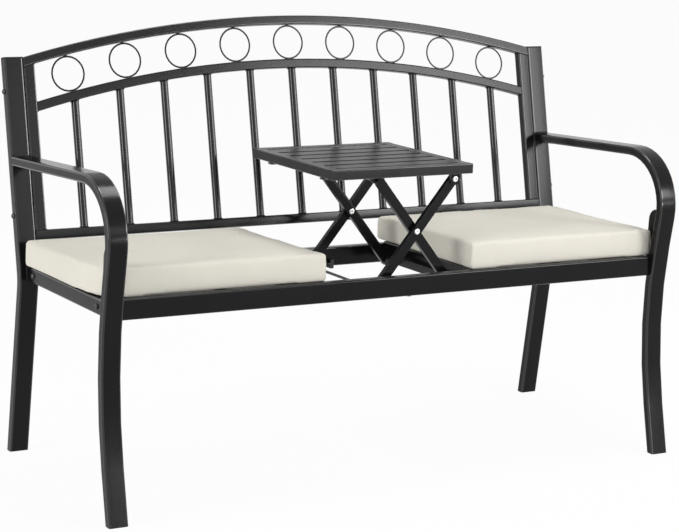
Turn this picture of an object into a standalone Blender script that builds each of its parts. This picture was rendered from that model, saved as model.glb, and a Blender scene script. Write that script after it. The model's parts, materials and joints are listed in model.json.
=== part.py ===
"""Metal garden bench with an arched back, a scissor table that folds down
into the middle of the seat, and two box cushions.

Metres. X runs to the right, Y to the back and Z up, with the floor at Z = 0.
"""

import math

import bmesh
import bpy
from mathutils import Matrix, Vector

# Clearances
FIT = 0.0003  # between pieces that touch or are welded
PIN_FIT = 0.00015  # around a pin or a bolt in its hole
RUN_FIT = 0.0005  # between a roller and its runner
WELD = 0.0005  # how far a welded end runs into its neighbour

# Side frames: flat tube, wide across the bench
BENCH_WIDTH = 1.284
TUBE_WIDTH = 0.040
TUBE_DEPTH = 0.019
TUBE_CORNER = 0.004
POST_CAP = 0.003

# Rear posts: their front face, from the bend just below the seat
POST_BEND_Y = 0.1496
POST_BEND_Z = 0.3584
POST_BEND_RADIUS = 0.100
POST_RAKE = math.radians(14.74)
POST_SPLAY = math.radians(5.36)
POST_LENGTH = 0.4403

# Arms and front legs: one tube, drawn along its outer face
ARM_UP_POST = 0.2462
ARM_SLOPE = math.radians(5.34)
ARM_REACH = 0.4867
ARM_BEND_RADIUS = 0.118
LEG_WAIST_BACK = 0.048
LEG_WAIST_Z = 0.2667
LEG_WAIST_RADIUS = 0.860
LEG_SPLAY = math.radians(15.11)

# Back panel, bolted between the posts
STILE_WIDTH = 0.024
PANEL_DEPTH = 0.019
PANEL_CORNER = 0.003
ARCH_RAIL = 0.019
ARCH_RISE = 0.0766
ARCH_DROP = 0.0010
PANEL_FOOT = 0.0795
BOTTOM_RAIL = 0.020
BAR_DIAMETER = 0.016
BAR_COUNT = 11
BAR_GAP_LEFT = 0.0832
BAR_GAP_RIGHT = 0.0785
RING_DIAMETER = 0.0724
RING_ROD = 0.0038
RING_COUNT = 9
RING_GAP_LEFT = 0.073
RING_GAP_RIGHT = 0.0765
PANEL_BOLT_TOP = 0.066
PANEL_BOLT_FOOT = 0.030

# Seat frame, in its own tilted plane: Y back from the front rail, Z up from its top
SEAT_Z = 0.4128
SEAT_SETBACK = 0.0124
SEAT_TILT = math.radians(2.5)
SEAT_RAIL_DEPTH = 0.020
SEAT_RAIL_HEIGHT = 0.040
REAR_RAIL_DROP = 0.0055
SEAT_CORNER = 0.003
SEAT_TO_POST = 0.02778331  # behind the seat, at its height
END_RAIL_WIDTH = 0.020
INNER_RAIL_WIDTH = 0.020
WELL_WIDTH = 0.330
LEDGE_WIDTH = 0.016
LEDGE_HEIGHT_LEFT = 0.004  # the folded rods lie under the left ledge
LEDGE_HEIGHT_RIGHT = 0.016
LEDGE_INSET = 0.003
SLAT_THICKNESS = 0.004
SEAT_SLAT_WIDTH = 0.030
SEAT_SLAT_COUNT = 7
STRAP_WIDTH = 0.020
STRAP_THICKNESS = 0.003
SIDE_RAIL_WIDTH = 0.025
SIDE_RAIL_HEIGHT = 0.030
SIDE_RAIL_DROP = 0.007
SEAT_BOLT_FRONT = 0.035
SEAT_BOLT_REAR = 0.013

# Gusset plates behind the front legs
GUSSET_WIDTH = 0.030
GUSSET_HEIGHT = 0.103
GUSSET_CORNER = 0.024
GUSSET_THICKNESS = 0.004

# Bolts
BOLT_DIAMETER = 0.006
BOLT_HEAD_DIAMETER = 0.0115
BOLT_HEAD_HEIGHT = 0.004
BOLT_GRIP = 0.010

# Folding table
FOLD_ANGLE = math.radians(51.0)
TABLE_END_GAP = 0.0025
TABLE_SIDE_GAP = 0.005
TABLE_RAIL = 0.020
TABLE_CORNER = 0.002
TABLE_SLAT_WIDTH = 0.036
TABLE_SLAT_COUNT = 6
TABLE_SLAT_DROP = 0.001

# Scissor legs under the table
LEG_BAR_WIDTH = 0.019
LEG_BAR_THICKNESS = 0.010
LEG_BAR_GAP = 0.001
LEG_SHORT_END = 0.0065
LEG_TO_TABLE = 0.001
FIXED_PIVOT_INSET = 0.0285
SLIDE_INSET = 0.0171
BRACKET_INSET = 0.0355
FRONT_LEG_SETBACK = 0.0115
REAR_LEG_SETBACK = 0.0395
PLATE_THICKNESS = 0.003
PLATE_GAP = 0.0008
BRACKET_WIDTH = 0.024
PIN_DIAMETER = 0.006
RIVET_HEAD_DIAMETER = 0.012
RIVET_HEAD_HEIGHT = 0.0012
ROLLER_DIAMETER = 0.013
ROLLER_WIDTH = 0.012
ROLLER_GAP = 0.0055
RUNNER_THICKNESS = 0.003
RUNNER_LIP = 0.001
STOP_WIDTH = 0.006
STOP_HEIGHT = 0.011
ROD_END_GAP = 0.0035
ROD_OVERHANG = 0.034
SEAT_RUNNER_INSET = 0.005
FRONT_RUNNER_WIDTH = 0.0107
REAR_RUNNER_WIDTH = 0.0247
LUG_WIDTH = 0.008
LUG_RISE = 0.0065
LUG_DROP = 0.009
LUG_REACH = 0.0725

# Cushions
CUSHION_GAP_LEFT = 0.003  # from the edge of the well; the right cushion lies just over it
CUSHION_GAP_RIGHT = -0.002
CUSHION_TO_GUSSET = 0.006
CUSHION_SPILL = 0.022  # how far the left cushion lies over its side rail
CUSHION_SLUMP_LEFT = 0.009  # how much thinner each cushion is at its rear
CUSHION_SLUMP_RIGHT = 0.005
CUSHION_SETBACK = 0.012
CUSHION_OVERHANG = 0.008
CUSHION_THICKNESS = 0.055
CUSHION_CROWN = 0.004
CUSHION_DRAW = 0.004
CUSHION_EDGE = 0.006

# Facets
CORNER_STEPS = 2
BEND_STEP = math.radians(9.0)
ARCH_STEPS = 32
ROUND_STEPS = 16
RING_STEPS = 24
RING_SIDES = 6

# Places worked out from the sizes above
FRAME_INNER = BENCH_WIDTH / 2 - TUBE_WIDTH
FRAME_MIDDLE = BENCH_WIDTH / 2 - TUBE_WIDTH / 2
WELL_HALF = WELL_WIDTH / 2
TABLE_HALF = WELL_HALF - TABLE_SIDE_GAP
TABLE_FRONT = SEAT_RAIL_DEPTH + TABLE_END_GAP
PIN_DROP = LEG_BAR_WIDTH / 2 + LEG_TO_TABLE
LEDGE_TOP = -TABLE_RAIL
PIN_LOW = LEDGE_TOP + FIT - PIN_DROP

# Axis directions of a piece drawn flat and stood up in the side or front view
SIDE_VIEW = Matrix(((0, 0, 1, 0), (1, 0, 0, 0), (0, 1, 0, 0), (0, 0, 0, 1)))
FRONT_VIEW = Matrix(((1, 0, 0, 0), (0, 0, -1, 0), (0, 1, 0, 0), (0, 0, 0, 1)))
ALONG_RIGHT = Matrix(((0, 0, 1, 0), (0, 1, 0, 0), (-1, 0, 0, 0), (0, 0, 0, 1)))
ALONG_LEFT = Matrix(((0, 0, -1, 0), (0, 1, 0, 0), (1, 0, 0, 0), (0, 0, 0, 1)))

SIDES = (("left", -1), ("right", 1))


# Outlines in a plane

def arc_points(centre, radius, start, end, steps):
    """Points on a circular arc from angle start to angle end."""
    points = []
    for index in range(steps + 1):
        angle = start + (end - start) * index / steps
        points.append(Vector((centre[0] + radius * math.cos(angle),
                              centre[1] + radius * math.sin(angle))))
    return points


def bent_path(corners, radii):
    """A path through the end points, with each inner corner rounded to its radius."""
    path = [Vector(corners[0])]
    for index, radius in enumerate(radii, start=1):
        corner = Vector(corners[index])
        back = (Vector(corners[index - 1]) - corner).normalized()
        ahead = (Vector(corners[index + 1]) - corner).normalized()
        half = math.acos(back.dot(ahead)) / 2
        middle = (back + ahead).normalized()
        centre = corner + middle * (radius / math.sin(half))
        first = corner + back * (radius / math.tan(half)) - centre
        turn = math.pi - 2 * half
        side = 1 if first.x * middle.y - first.y * middle.x < 0 else -1
        steps = max(4, math.ceil(turn / BEND_STEP))
        start = math.atan2(first.y, first.x)
        path += arc_points(centre, radius, start, start + side * turn, steps)
    path.append(Vector(corners[-1]))
    return path


def path_at_height(path, height):
    """The point of a rising path at a height, and its direction there."""
    for low, high in zip(path, path[1:]):
        if low.y <= height <= high.y:
            share = (height - low.y) / (high.y - low.y)
            return low.lerp(high, share), (high - low).normalized()
    raise ValueError("the path does not reach the height")


def right_of(direction):
    """The direction a quarter turn clockwise from a direction."""
    return Vector((direction.y, -direction.x))


def bar_outline(first, second, width, first_end, second_end):
    """A flat bar between two pins, with rounded ends at set distances past them."""
    along = (second - first).normalized()
    angle = math.atan2(along.y, along.x)
    radius = width / 2
    tail = first + along * (radius - first_end)
    head = second - along * (radius - second_end)
    quarter = math.pi / 2
    return (arc_points(head, radius, angle - quarter, angle + quarter, ROUND_STEPS // 2)
            + arc_points(tail, radius, angle + quarter, angle + 3 * quarter, ROUND_STEPS // 2))


def circle(centre, radius):
    """A closed circle."""
    return arc_points(centre, radius, 0, 2 * math.pi, ROUND_STEPS)[:-1]


# Meshes made with the modelling tools

def clean(mesh):
    """Weld loose caps and turn the faces outward."""
    bm = bmesh.new()
    bm.from_mesh(mesh)
    bmesh.ops.remove_doubles(bm, verts=bm.verts, dist=1e-5)
    bmesh.ops.recalc_face_normals(bm, faces=bm.faces)
    bm.to_mesh(mesh)
    bm.free()
    return mesh


def baked(obj, *helpers):
    """The mesh of an object after its modifiers, with the object and its helpers removed."""
    bpy.context.scene.collection.objects.link(obj)
    bpy.context.view_layer.update()
    seen = obj.evaluated_get(bpy.context.evaluated_depsgraph_get())
    mesh = bpy.data.meshes.new_from_object(seen)
    for used in (obj, *helpers):
        bpy.data.objects.remove(used, do_unlink=True)
    return clean(mesh)


def flat_curve(name, loops, closed):
    """A 2D curve object through straight-sided loops."""
    curve = bpy.data.curves.new(name, "CURVE")
    curve.dimensions = "2D"
    curve.fill_mode = "NONE"
    for loop in loops:
        spline = curve.splines.new("POLY")
        spline.points.add(len(loop) - 1)
        for point, place in zip(spline.points, loop):
            point.co = (place[0], place[1], 0, 1)
        spline.use_cyclic_u = closed
    return bpy.data.objects.new(name, curve)


def tube(path, depth, width, corner):
    """A flat tube whose outer face follows a path; the tube lies to the right of it."""
    quarter = math.pi / 2
    section = []
    for turn, (across, up) in enumerate(((1, 1), (-1, 1), (-1, -1), (1, -1))):
        centre = (depth / 2 + across * (depth / 2 - corner), up * (width / 2 - corner))
        section += arc_points(centre, corner, turn * quarter, (turn + 1) * quarter, CORNER_STEPS)
    profile = flat_curve("profile", [section], True)
    bpy.context.scene.collection.objects.link(profile)
    run = flat_curve("run", [path], False)
    run.data.bevel_mode = "OBJECT"
    run.data.bevel_object = profile
    run.data.use_fill_caps = True
    return baked(run, profile)


def plate(loops, thickness):
    """A flat plate from its outline and the outlines of its holes."""
    flat = flat_curve("plate", loops, True)
    flat.data.fill_mode = "BOTH"
    flat.data.extrude = thickness / 2
    return baked(flat)


def box(low, high, corner=0.0, axis=None):
    """A box between two corners, with the edges along one axis rounded."""
    size = [b - a for a, b in zip(low, high)]
    middle = [(a + b) / 2 for a, b in zip(low, high)]
    bm = bmesh.new()
    bmesh.ops.create_cube(bm, size=1, matrix=Matrix.LocRotScale(middle, None, size))
    if axis is not None:
        long_edges = [edge for edge in bm.edges
                      if abs((edge.verts[1].co - edge.verts[0].co)[axis]) > size[axis] / 2]
        bmesh.ops.bevel(bm, geom=long_edges, offset=corner, segments=CORNER_STEPS, profile=0.5,
                        affect="EDGES")
    mesh = bpy.data.meshes.new("box")
    bm.to_mesh(mesh)
    bm.free()
    return clean(mesh)


def rod(radius, low, high):
    """A round rod along its own Z axis."""
    bm = bmesh.new()
    bmesh.ops.create_cone(bm, cap_ends=True, segments=ROUND_STEPS, radius1=radius, radius2=radius,
                          depth=high - low, matrix=Matrix.Translation((0, 0, (low + high) / 2)))
    mesh = bpy.data.meshes.new("rod")
    bm.to_mesh(mesh)
    bm.free()
    return mesh


def turned(profile, closed=False):
    """A profile of radius and height turned about the Z axis."""
    edges = [(index, index + 1) for index in range(len(profile) - 1)]
    if closed:
        edges.append((len(profile) - 1, 0))
    mesh = bpy.data.meshes.new("turned")
    mesh.from_pydata([(radius, 0, height) for radius, height in profile], edges, [])
    obj = bpy.data.objects.new("turned", mesh)
    screw = obj.modifiers.new("turn", "SCREW")
    screw.axis = "Z"
    screw.steps = ROUND_STEPS
    screw.render_steps = ROUND_STEPS
    screw.use_merge_vertices = True
    screw.merge_threshold = 1e-5
    return baked(obj)


def ring(radius, rod_radius):
    """A ring of round rod in its own XY plane."""
    bpy.ops.mesh.primitive_torus_add(major_segments=RING_STEPS, minor_segments=RING_SIDES,
                                     major_radius=radius, minor_radius=rod_radius)
    obj = bpy.context.object
    mesh = obj.data.copy()
    bpy.data.objects.remove(obj, do_unlink=True)
    return mesh


def trimmed(mesh, point, away):
    """Cut a mesh at a plane, drop what lies on its far side and close the cut."""
    bm = bmesh.new()
    bm.from_mesh(mesh)
    bmesh.ops.bisect_plane(bm, geom=bm.verts[:] + bm.edges[:] + bm.faces[:], dist=1e-6,
                           plane_co=point, plane_no=away, clear_outer=True)
    bmesh.ops.holes_fill(bm, edges=[edge for edge in bm.edges if edge.is_boundary], sides=0)
    bm.to_mesh(mesh)
    bm.free()
    return clean(mesh)


def group(placed):
    """Several separate solids in one mesh, from pairs of mesh and matrix."""
    bm = bmesh.new()
    for mesh, matrix in placed:
        copy = mesh.copy()
        copy.transform(matrix)
        bm.from_mesh(copy)
        bpy.data.meshes.remove(copy)
    mesh = bpy.data.meshes.new("group")
    bm.to_mesh(mesh)
    bm.free()
    return mesh


def fused(first, others):
    """One body from meshes that run into one another, as where they are welded."""
    obj = bpy.data.objects.new("fused", first)
    helpers = []
    for mesh in others:
        helper = bpy.data.objects.new("welded", mesh)
        bpy.context.scene.collection.objects.link(helper)
        helpers.append(helper)
        boolean = obj.modifiers.new("weld", "BOOLEAN")
        boolean.operation = "UNION"
        boolean.solver = "EXACT"
        boolean.object = helper
    return baked(obj, *helpers)


def bolt(length):
    """A button-head bolt: the head stands on Z = 0 and the shank points down."""
    head = BOLT_HEAD_DIAMETER / 2
    shank = BOLT_DIAMETER / 2
    dome = [(0, BOLT_HEAD_HEIGHT), (head * 0.55, BOLT_HEAD_HEIGHT * 0.9),
            (head * 0.9, BOLT_HEAD_HEIGHT * 0.55), (head, FIT), (shank, FIT)]
    return turned(dome + [(shank, -length), (0, -length)])


def rivet(length, tail_head):
    """A rivet: its head stands on Z = 0, with or without a head at its far end."""
    head = RIVET_HEAD_DIAMETER / 2
    shank = PIN_DIAMETER / 2
    profile = [(0, RIVET_HEAD_HEIGHT), (head * 0.7, RIVET_HEAD_HEIGHT * 0.8),
               (head, PIN_FIT), (shank, PIN_FIT)]
    if tail_head:
        profile += [(shank, -length - PIN_FIT), (head, -length - PIN_FIT),
                    (head * 0.7, -length - RIVET_HEAD_HEIGHT * 0.8), (0, -length - RIVET_HEAD_HEIGHT)]
    else:
        profile += [(shank, -length), (0, -length)]
    return turned(profile)


# The scene

def clear_scene():
    """Remove what is in the scene."""
    for obj in list(bpy.data.objects):
        bpy.data.objects.remove(obj, do_unlink=True)


def new_collection(name):
    """A collection linked to the scene."""
    collection = bpy.data.collections.new(name)
    bpy.context.scene.collection.children.link(collection)
    return collection


def new_material(name, colour, roughness, metallic):
    """A plain surface."""
    material = bpy.data.materials.new(name)
    material.use_nodes = True
    shader = material.node_tree.nodes["Principled BSDF"]
    shader.inputs["Base Color"].default_value = (*colour, 1)
    shader.inputs["Roughness"].default_value = roughness
    shader.inputs["Metallic"].default_value = metallic
    material.diffuse_color = (*colour, 1)
    return material


clear_scene()
PARTS = new_collection("garden_bench")
CUTTERS = new_collection("cutters")
PAINT = new_material("black_powder_coat", (0.020, 0.020, 0.022), 0.38, 0.0)
PLASTIC = new_material("black_plastic", (0.015, 0.015, 0.016), 0.55, 0.0)
ZINC = new_material("zinc_plate", (0.62, 0.62, 0.64), 0.30, 1.0)
BLACK_ZINC = new_material("black_zinc", (0.055, 0.055, 0.060), 0.28, 1.0)
FABRIC = new_material("cream_fabric", (0.78, 0.74, 0.65), 0.90, 0.0)


def empty(name, place, tilt=0.0, parent=None):
    """A guide that carries pieces."""
    obj = bpy.data.objects.new(name, None)
    CUTTERS.objects.link(obj)
    obj.location = place
    obj.rotation_euler = (tilt, 0, 0)
    obj.parent = parent
    return obj


def piece(name, mesh, material, parent=None, place=(0, 0, 0)):
    """A named piece of the bench."""
    mesh.name = name
    mesh.materials.clear()
    mesh.materials.append(material)
    obj = bpy.data.objects.new(name, mesh)
    PARTS.objects.link(obj)
    obj.location = place
    obj.parent = parent
    return obj


def cut(target, cutter):
    """Cut one object out of another."""
    boolean = target.modifiers.new(cutter.name, "BOOLEAN")
    boolean.operation = "DIFFERENCE"
    boolean.solver = "EXACT"
    boolean.object = cutter


def bolt_holes(name, side, reach, outer, places, parent):
    """The cutter for a row of bolts along X, from outside a face to past their tips."""
    holes = rod(BOLT_DIAMETER / 2 + PIN_FIT, -reach - FIT, BOLT_HEAD_HEIGHT)
    turn = ALONG_RIGHT if side > 0 else ALONG_LEFT
    mesh = group([(holes, Matrix.Translation((side * outer, y, z)) @ turn) for y, z in places])
    obj = bpy.data.objects.new(name, mesh)
    CUTTERS.objects.link(obj)
    obj.parent = parent
    obj.hide_render = True
    obj.display_type = "WIRE"
    return obj


def bolt_row(names, side, reach, outer, places, parent):
    """Bolts along X with their heads on an outer face."""
    for name, (y, z) in zip(names, places):
        mesh = bolt(reach)
        mesh.transform(ALONG_RIGHT if side > 0 else ALONG_LEFT)
        piece(name, mesh, BLACK_ZINC, parent, (side * outer, y, z))


# Side frames

POST_TOP_SIDE = Vector((math.sin(POST_RAKE), math.cos(POST_RAKE)))
POST_BEND_POINT = Vector((POST_BEND_Y, POST_BEND_Z))
POST_TOP = POST_BEND_POINT + POST_TOP_SIDE * POST_LENGTH
REAR_FOOT = Vector((POST_BEND_Y + POST_BEND_Z * math.tan(POST_SPLAY), 0))
REAR_LEG_SIDE = (POST_BEND_POINT - REAR_FOOT).normalized()
POST_PATH = bent_path((REAR_FOOT - REAR_LEG_SIDE * TUBE_DEPTH, POST_BEND_POINT,
                       POST_TOP + POST_TOP_SIDE * TUBE_DEPTH), (POST_BEND_RADIUS,))

ARM_END = POST_BEND_POINT + POST_TOP_SIDE * ARM_UP_POST
ARM_SIDE = Vector((math.cos(ARM_SLOPE), -math.sin(ARM_SLOPE)))
ARM_CORNER = ARM_END - ARM_SIDE * (ARM_REACH / math.cos(ARM_SLOPE))
LEG_WAIST = Vector((ARM_CORNER.x + LEG_WAIST_BACK, LEG_WAIST_Z))
FRONT_FOOT = Vector((LEG_WAIST.x - LEG_WAIST_Z * math.tan(LEG_SPLAY), 0))
FRONT_LEG_SIDE = (LEG_WAIST - FRONT_FOOT).normalized()
ARM_PATH = bent_path((FRONT_FOOT - FRONT_LEG_SIDE * TUBE_DEPTH, LEG_WAIST, ARM_CORNER,
                      ARM_END + ARM_SIDE * 2 * TUBE_DEPTH), (LEG_WAIST_RADIUS, ARM_BEND_RADIUS))

SEAT_Y = path_at_height(ARM_PATH, SEAT_Z)[0].x + SEAT_SETBACK
SEAT_DEPTH = path_at_height(POST_PATH, SEAT_Z)[0].x - SEAT_TO_POST - SEAT_Y
SEAT_CLEAR_DEPTH = SEAT_DEPTH - 2 * SEAT_RAIL_DEPTH
SEAT_REAR = SEAT_RAIL_DEPTH + SEAT_CLEAR_DEPTH
SEAT_BACK = SEAT_REAR + SEAT_RAIL_DEPTH
TABLE_REAR = SEAT_REAR - TABLE_END_GAP
SEAT = empty("seat_plane", (0, SEAT_Y, SEAT_Z), -SEAT_TILT)
PANEL = empty("panel_plane", (0, POST_BEND_Y, POST_BEND_Z), -POST_RAKE)


def seat_to_side(back, up):
    """A place in the tilted seat plane, in the side view."""
    return Vector((SEAT_Y + back * math.cos(SEAT_TILT) + up * math.sin(SEAT_TILT),
                   SEAT_Z - back * math.sin(SEAT_TILT) + up * math.cos(SEAT_TILT)))


def side_plane(point, direction, offset):
    """A plane across the side view, to the right of a path at a point, as place and normal."""
    right = right_of(direction)
    place = point + right * offset
    return (0, place.x, place.y), (0, right.x, right.y)


def frame_tube(path):
    """A side frame tube along a path in the side view, standing on the floor."""
    mesh = tube(path, TUBE_DEPTH, TUBE_WIDTH, TUBE_CORNER)
    mesh.transform(SIDE_VIEW)
    return trimmed(mesh, (0, 0, 0), (0, 0, -1))


def build_side_frames():
    """Posts, arms with front legs, their caps, the side rails and the gussets."""
    rail_low = -SIDE_RAIL_DROP - SIDE_RAIL_HEIGHT
    rail_middle = -SIDE_RAIL_DROP - SIDE_RAIL_HEIGHT / 2
    front_end = path_at_height(ARM_PATH, seat_to_side(0, rail_middle).y)
    rear_end = path_at_height(POST_PATH, seat_to_side(SEAT_BACK, rail_middle).y)
    to_seat = Matrix.LocRotScale((0, SEAT_Y, SEAT_Z), None, None) @ Matrix.Rotation(-SEAT_TILT, 4, "X")
    up_post = Vector((0, POST_TOP_SIDE.x, POST_TOP_SIDE.y))
    for word, side in SIDES:
        place = (side * FRAME_MIDDLE, 0, 0)
        tube_top = POST_TOP - POST_TOP_SIDE * POST_CAP
        post = trimmed(frame_tube(POST_PATH), (0, tube_top.x, tube_top.y), up_post)
        piece("rear_post_" + word, post, PAINT, place=place)

        cap_foot = tube_top + POST_TOP_SIDE * FIT
        cap = trimmed(frame_tube(POST_PATH), (0, cap_foot.x, cap_foot.y), -up_post)
        trimmed(cap, (0, POST_TOP.x, POST_TOP.y), up_post)
        piece("post_cap_" + word, cap, PLASTIC, place=place)

        arm = trimmed(frame_tube(ARM_PATH), *side_plane(ARM_END, POST_TOP_SIDE, -FIT))
        piece("arm_leg_" + word, arm, PAINT, place=place)

        inner = side * FRAME_INNER
        outer = side * (FRAME_INNER + SIDE_RAIL_WIDTH)
        rail = box((min(inner, outer), -SEAT_SETBACK - TUBE_DEPTH, rail_low),
                   (max(inner, outer), SEAT_BACK + 4 * TUBE_DEPTH, -SIDE_RAIL_DROP), SEAT_CORNER, 1)
        rail.transform(to_seat)
        leg_face, leg_normal = side_plane(*front_end, TUBE_DEPTH + FIT)
        trimmed(rail, leg_face, [-value for value in leg_normal])
        trimmed(rail, *side_plane(*rear_end, -FIT))
        rail.transform(to_seat.inverted())
        side_rail = piece("side_rail_" + word, rail, PAINT, SEAT)

        reach = SIDE_RAIL_WIDTH + BOLT_GRIP
        places = seat_bolt_places()
        holes = bolt_holes("seat_bolt_holes_" + word, side, reach,
                           FRAME_INNER + SIDE_RAIL_WIDTH, places, SEAT)
        cut(side_rail, holes)

        gusset = plate([gusset_outline()], GUSSET_THICKNESS)
        gusset.transform(SIDE_VIEW)
        piece("leg_gusset_" + word, gusset, PAINT, place=place)


def gusset_outline():
    """The gusset in the side view: up the back of the leg, over a round corner, down to the rail."""
    rail_top = -SIDE_RAIL_DROP + FIT
    foot = seat_to_side(0, rail_top).y
    top = foot + GUSSET_HEIGHT
    edge = []
    for low, high in zip(ARM_PATH, ARM_PATH[1:]):
        out = right_of((high - low).normalized()) * (TUBE_DEPTH + FIT)
        edge += [low + out, high + out]
    rising = []
    for point in edge:
        if foot + FIT < point.y < top and (not rising or point.y > rising[-1].y + FIT):
            rising.append(point)
    direction = path_at_height(ARM_PATH, foot)[1]
    start = path_at_height(ARM_PATH, foot)[0] + right_of(direction) * (TUBE_DEPTH + FIT)
    rear = start.x + GUSSET_WIDTH
    tip = rising[-1]
    corner = min(GUSSET_CORNER, top - foot, rear - tip.x)
    over = arc_points((rear - corner, top - corner), corner, math.pi / 2, 0, ROUND_STEPS // 2)
    slope = math.tan(SEAT_TILT)
    down = [Vector((rear, foot - (rear - SEAT_Y) * slope)),
            Vector((start.x, foot - (start.x - SEAT_Y) * slope))]
    return rising + over + down


def seat_bolt_places():
    """Where the bolts through the side rails lie in the seat plane."""
    height = -SIDE_RAIL_DROP - SIDE_RAIL_HEIGHT / 2
    return ((SEAT_RAIL_DEPTH + SEAT_BOLT_FRONT, height), (SEAT_BACK - SEAT_BOLT_REAR, height))


# Back panel, in the plane of the posts: Z along them from their bend

PANEL_TOP = POST_LENGTH - ARCH_DROP
ARCH_RADIUS = (FRAME_INNER ** 2 + ARCH_RISE ** 2) / (2 * ARCH_RISE)
ARCH_CENTRE = PANEL_TOP + ARCH_RISE - ARCH_RADIUS
LOWER_RADIUS = ARCH_RADIUS - ARCH_RAIL - FIT - RING_DIAMETER + WELD
STILE_INNER = FRAME_INNER - FIT - STILE_WIDTH
BOTTOM_TOP = PANEL_FOOT + BOTTOM_RAIL


def arch_height(radius, across):
    """The height of a circle about the arches' centre, at a distance from the middle."""
    return ARCH_CENTRE + math.sqrt(radius ** 2 - across ** 2)


def arched_rail(radius, half_span):
    """A curved rail under a circle, cut upright at both ends."""
    swing = math.asin(FRAME_INNER / radius) + ARCH_RAIL / radius
    path = arc_points((0, ARCH_CENTRE), radius, math.pi / 2 + swing, math.pi / 2 - swing, ARCH_STEPS)
    mesh = tube(path, ARCH_RAIL, PANEL_DEPTH, PANEL_CORNER)
    mesh.transform(Matrix.Translation((0, PANEL_DEPTH / 2, 0)) @ FRONT_VIEW)
    trimmed(mesh, (half_span, 0, 0), (1, 0, 0))
    return trimmed(mesh, (-half_span, 0, 0), (-1, 0, 0))


def bar_row():
    """The round bars, from inside the bottom rail to just under the lower arch."""
    under = LOWER_RADIUS - ARCH_RAIL - FIT
    first = BAR_GAP_LEFT - STILE_INNER
    pitch = (STILE_INNER - BAR_GAP_RIGHT - first) / (BAR_COUNT - 1)
    bars = []
    for index in range(BAR_COUNT):
        across = first + index * pitch
        top = arch_height(under, across)
        bar = rod(BAR_DIAMETER / 2, BOTTOM_TOP - WELD, top + BAR_DIAMETER)
        trimmed(bar, (0, 0, top), (across, 0, top - ARCH_CENTRE))
        bar.transform(Matrix.Translation((across, PANEL_DEPTH / 2, 0)))
        bars.append(bar)
    return bars


def ring_row():
    """The rings, welded on the lower arch and just clear of the top arch."""
    radius = LOWER_RADIUS - WELD + RING_DIAMETER / 2
    first = RING_GAP_LEFT - STILE_INNER
    pitch = (STILE_INNER - RING_GAP_RIGHT - first) / (RING_COUNT - 1)
    rings = []
    for index in range(RING_COUNT):
        across = first + index * pitch
        mesh = ring(RING_DIAMETER / 2 - RING_ROD / 2, RING_ROD / 2)
        place = Matrix.Translation((across, PANEL_DEPTH / 2, arch_height(radius, across)))
        lean = Matrix.Rotation(math.asin(across / radius), 4, "Y")
        mesh.transform(place @ lean @ FRONT_VIEW @ Matrix.Rotation(math.pi / 2, 4, "Z"))
        rings.append(mesh)
    return rings


def build_back_panel():
    """Stiles, arched and straight rails, bars, rings and bolts."""
    piece("back_top_rail", arched_rail(ARCH_RADIUS, FRAME_INNER - FIT), PAINT, PANEL)
    lower = fused(arched_rail(LOWER_RADIUS, STILE_INNER - FIT), ring_row())
    piece("back_ring_rail", lower, PAINT, PANEL)
    bottom = box((-FRAME_INNER + FIT, 0, PANEL_FOOT), (FRAME_INNER - FIT, PANEL_DEPTH, BOTTOM_TOP),
                 PANEL_CORNER, 0)
    piece("back_bar_rail", fused(bottom, bar_row()), PAINT, PANEL)

    under = ARCH_RADIUS - ARCH_RAIL - FIT
    for word, side in SIDES:
        inner = side * STILE_INNER
        outer = side * (FRAME_INNER - FIT)
        stile = box((min(inner, outer), 0, BOTTOM_TOP + FIT),
                    (max(inner, outer), PANEL_DEPTH, PANEL_TOP), PANEL_CORNER, 2)
        slant = Vector((outer - inner, 0,
                        arch_height(under, outer) - arch_height(under, inner))).normalized()
        trimmed(stile, (inner, 0, arch_height(under, inner)), (-side * slant.z, 0, abs(slant.x)))
        stile = piece("back_stile_" + word, stile, PAINT, PANEL)

        reach = TUBE_WIDTH + BOLT_GRIP
        places = ((PANEL_DEPTH / 2, PANEL_TOP - PANEL_BOLT_TOP),
                  (PANEL_DEPTH / 2, BOTTOM_TOP + PANEL_BOLT_FOOT))
        holes = bolt_holes("back_bolt_holes_" + word, side, reach, BENCH_WIDTH / 2, places, PANEL)
        cut(stile, holes)
        cut(bpy.data.objects["rear_post_" + word], holes)
        names = ("back_bolt_top_" + word, "back_bolt_foot_" + word)
        bolt_row(names, side, reach, BENCH_WIDTH / 2, places, PANEL)


# Scissor legs: the right lower pins are fixed, the left ends slide

LEG_LOWER = (WELL_WIDTH - FIXED_PIVOT_INSET - SLIDE_INSET) / 2
FOLDED_HINGE = TABLE_HALF - BRACKET_INSET
FIXED_PIN = Vector((WELL_HALF - FIXED_PIVOT_INSET, PIN_LOW))
LEG_UPPER = FOLDED_HINGE - FIXED_PIN.x + LEG_LOWER
LEG_COS = math.cos(FOLD_ANGLE)
LEG_SIN = math.sin(FOLD_ANGLE)
CROSS_PIN = FIXED_PIN + Vector((-LEG_COS, LEG_SIN)) * LEG_LOWER
HINGE_PIN = CROSS_PIN + Vector((LEG_COS, LEG_SIN)) * LEG_UPPER
UPPER_ROD = CROSS_PIN + Vector((-LEG_COS, LEG_SIN)) * LEG_UPPER
LOWER_ROD = CROSS_PIN - Vector((LEG_COS, LEG_SIN)) * LEG_LOWER
TABLE_X = HINGE_PIN.x - FOLDED_HINGE
TABLE_LOW = HINGE_PIN.y + PIN_DROP
TABLE_TOP = TABLE_LOW + TABLE_RAIL

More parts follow.
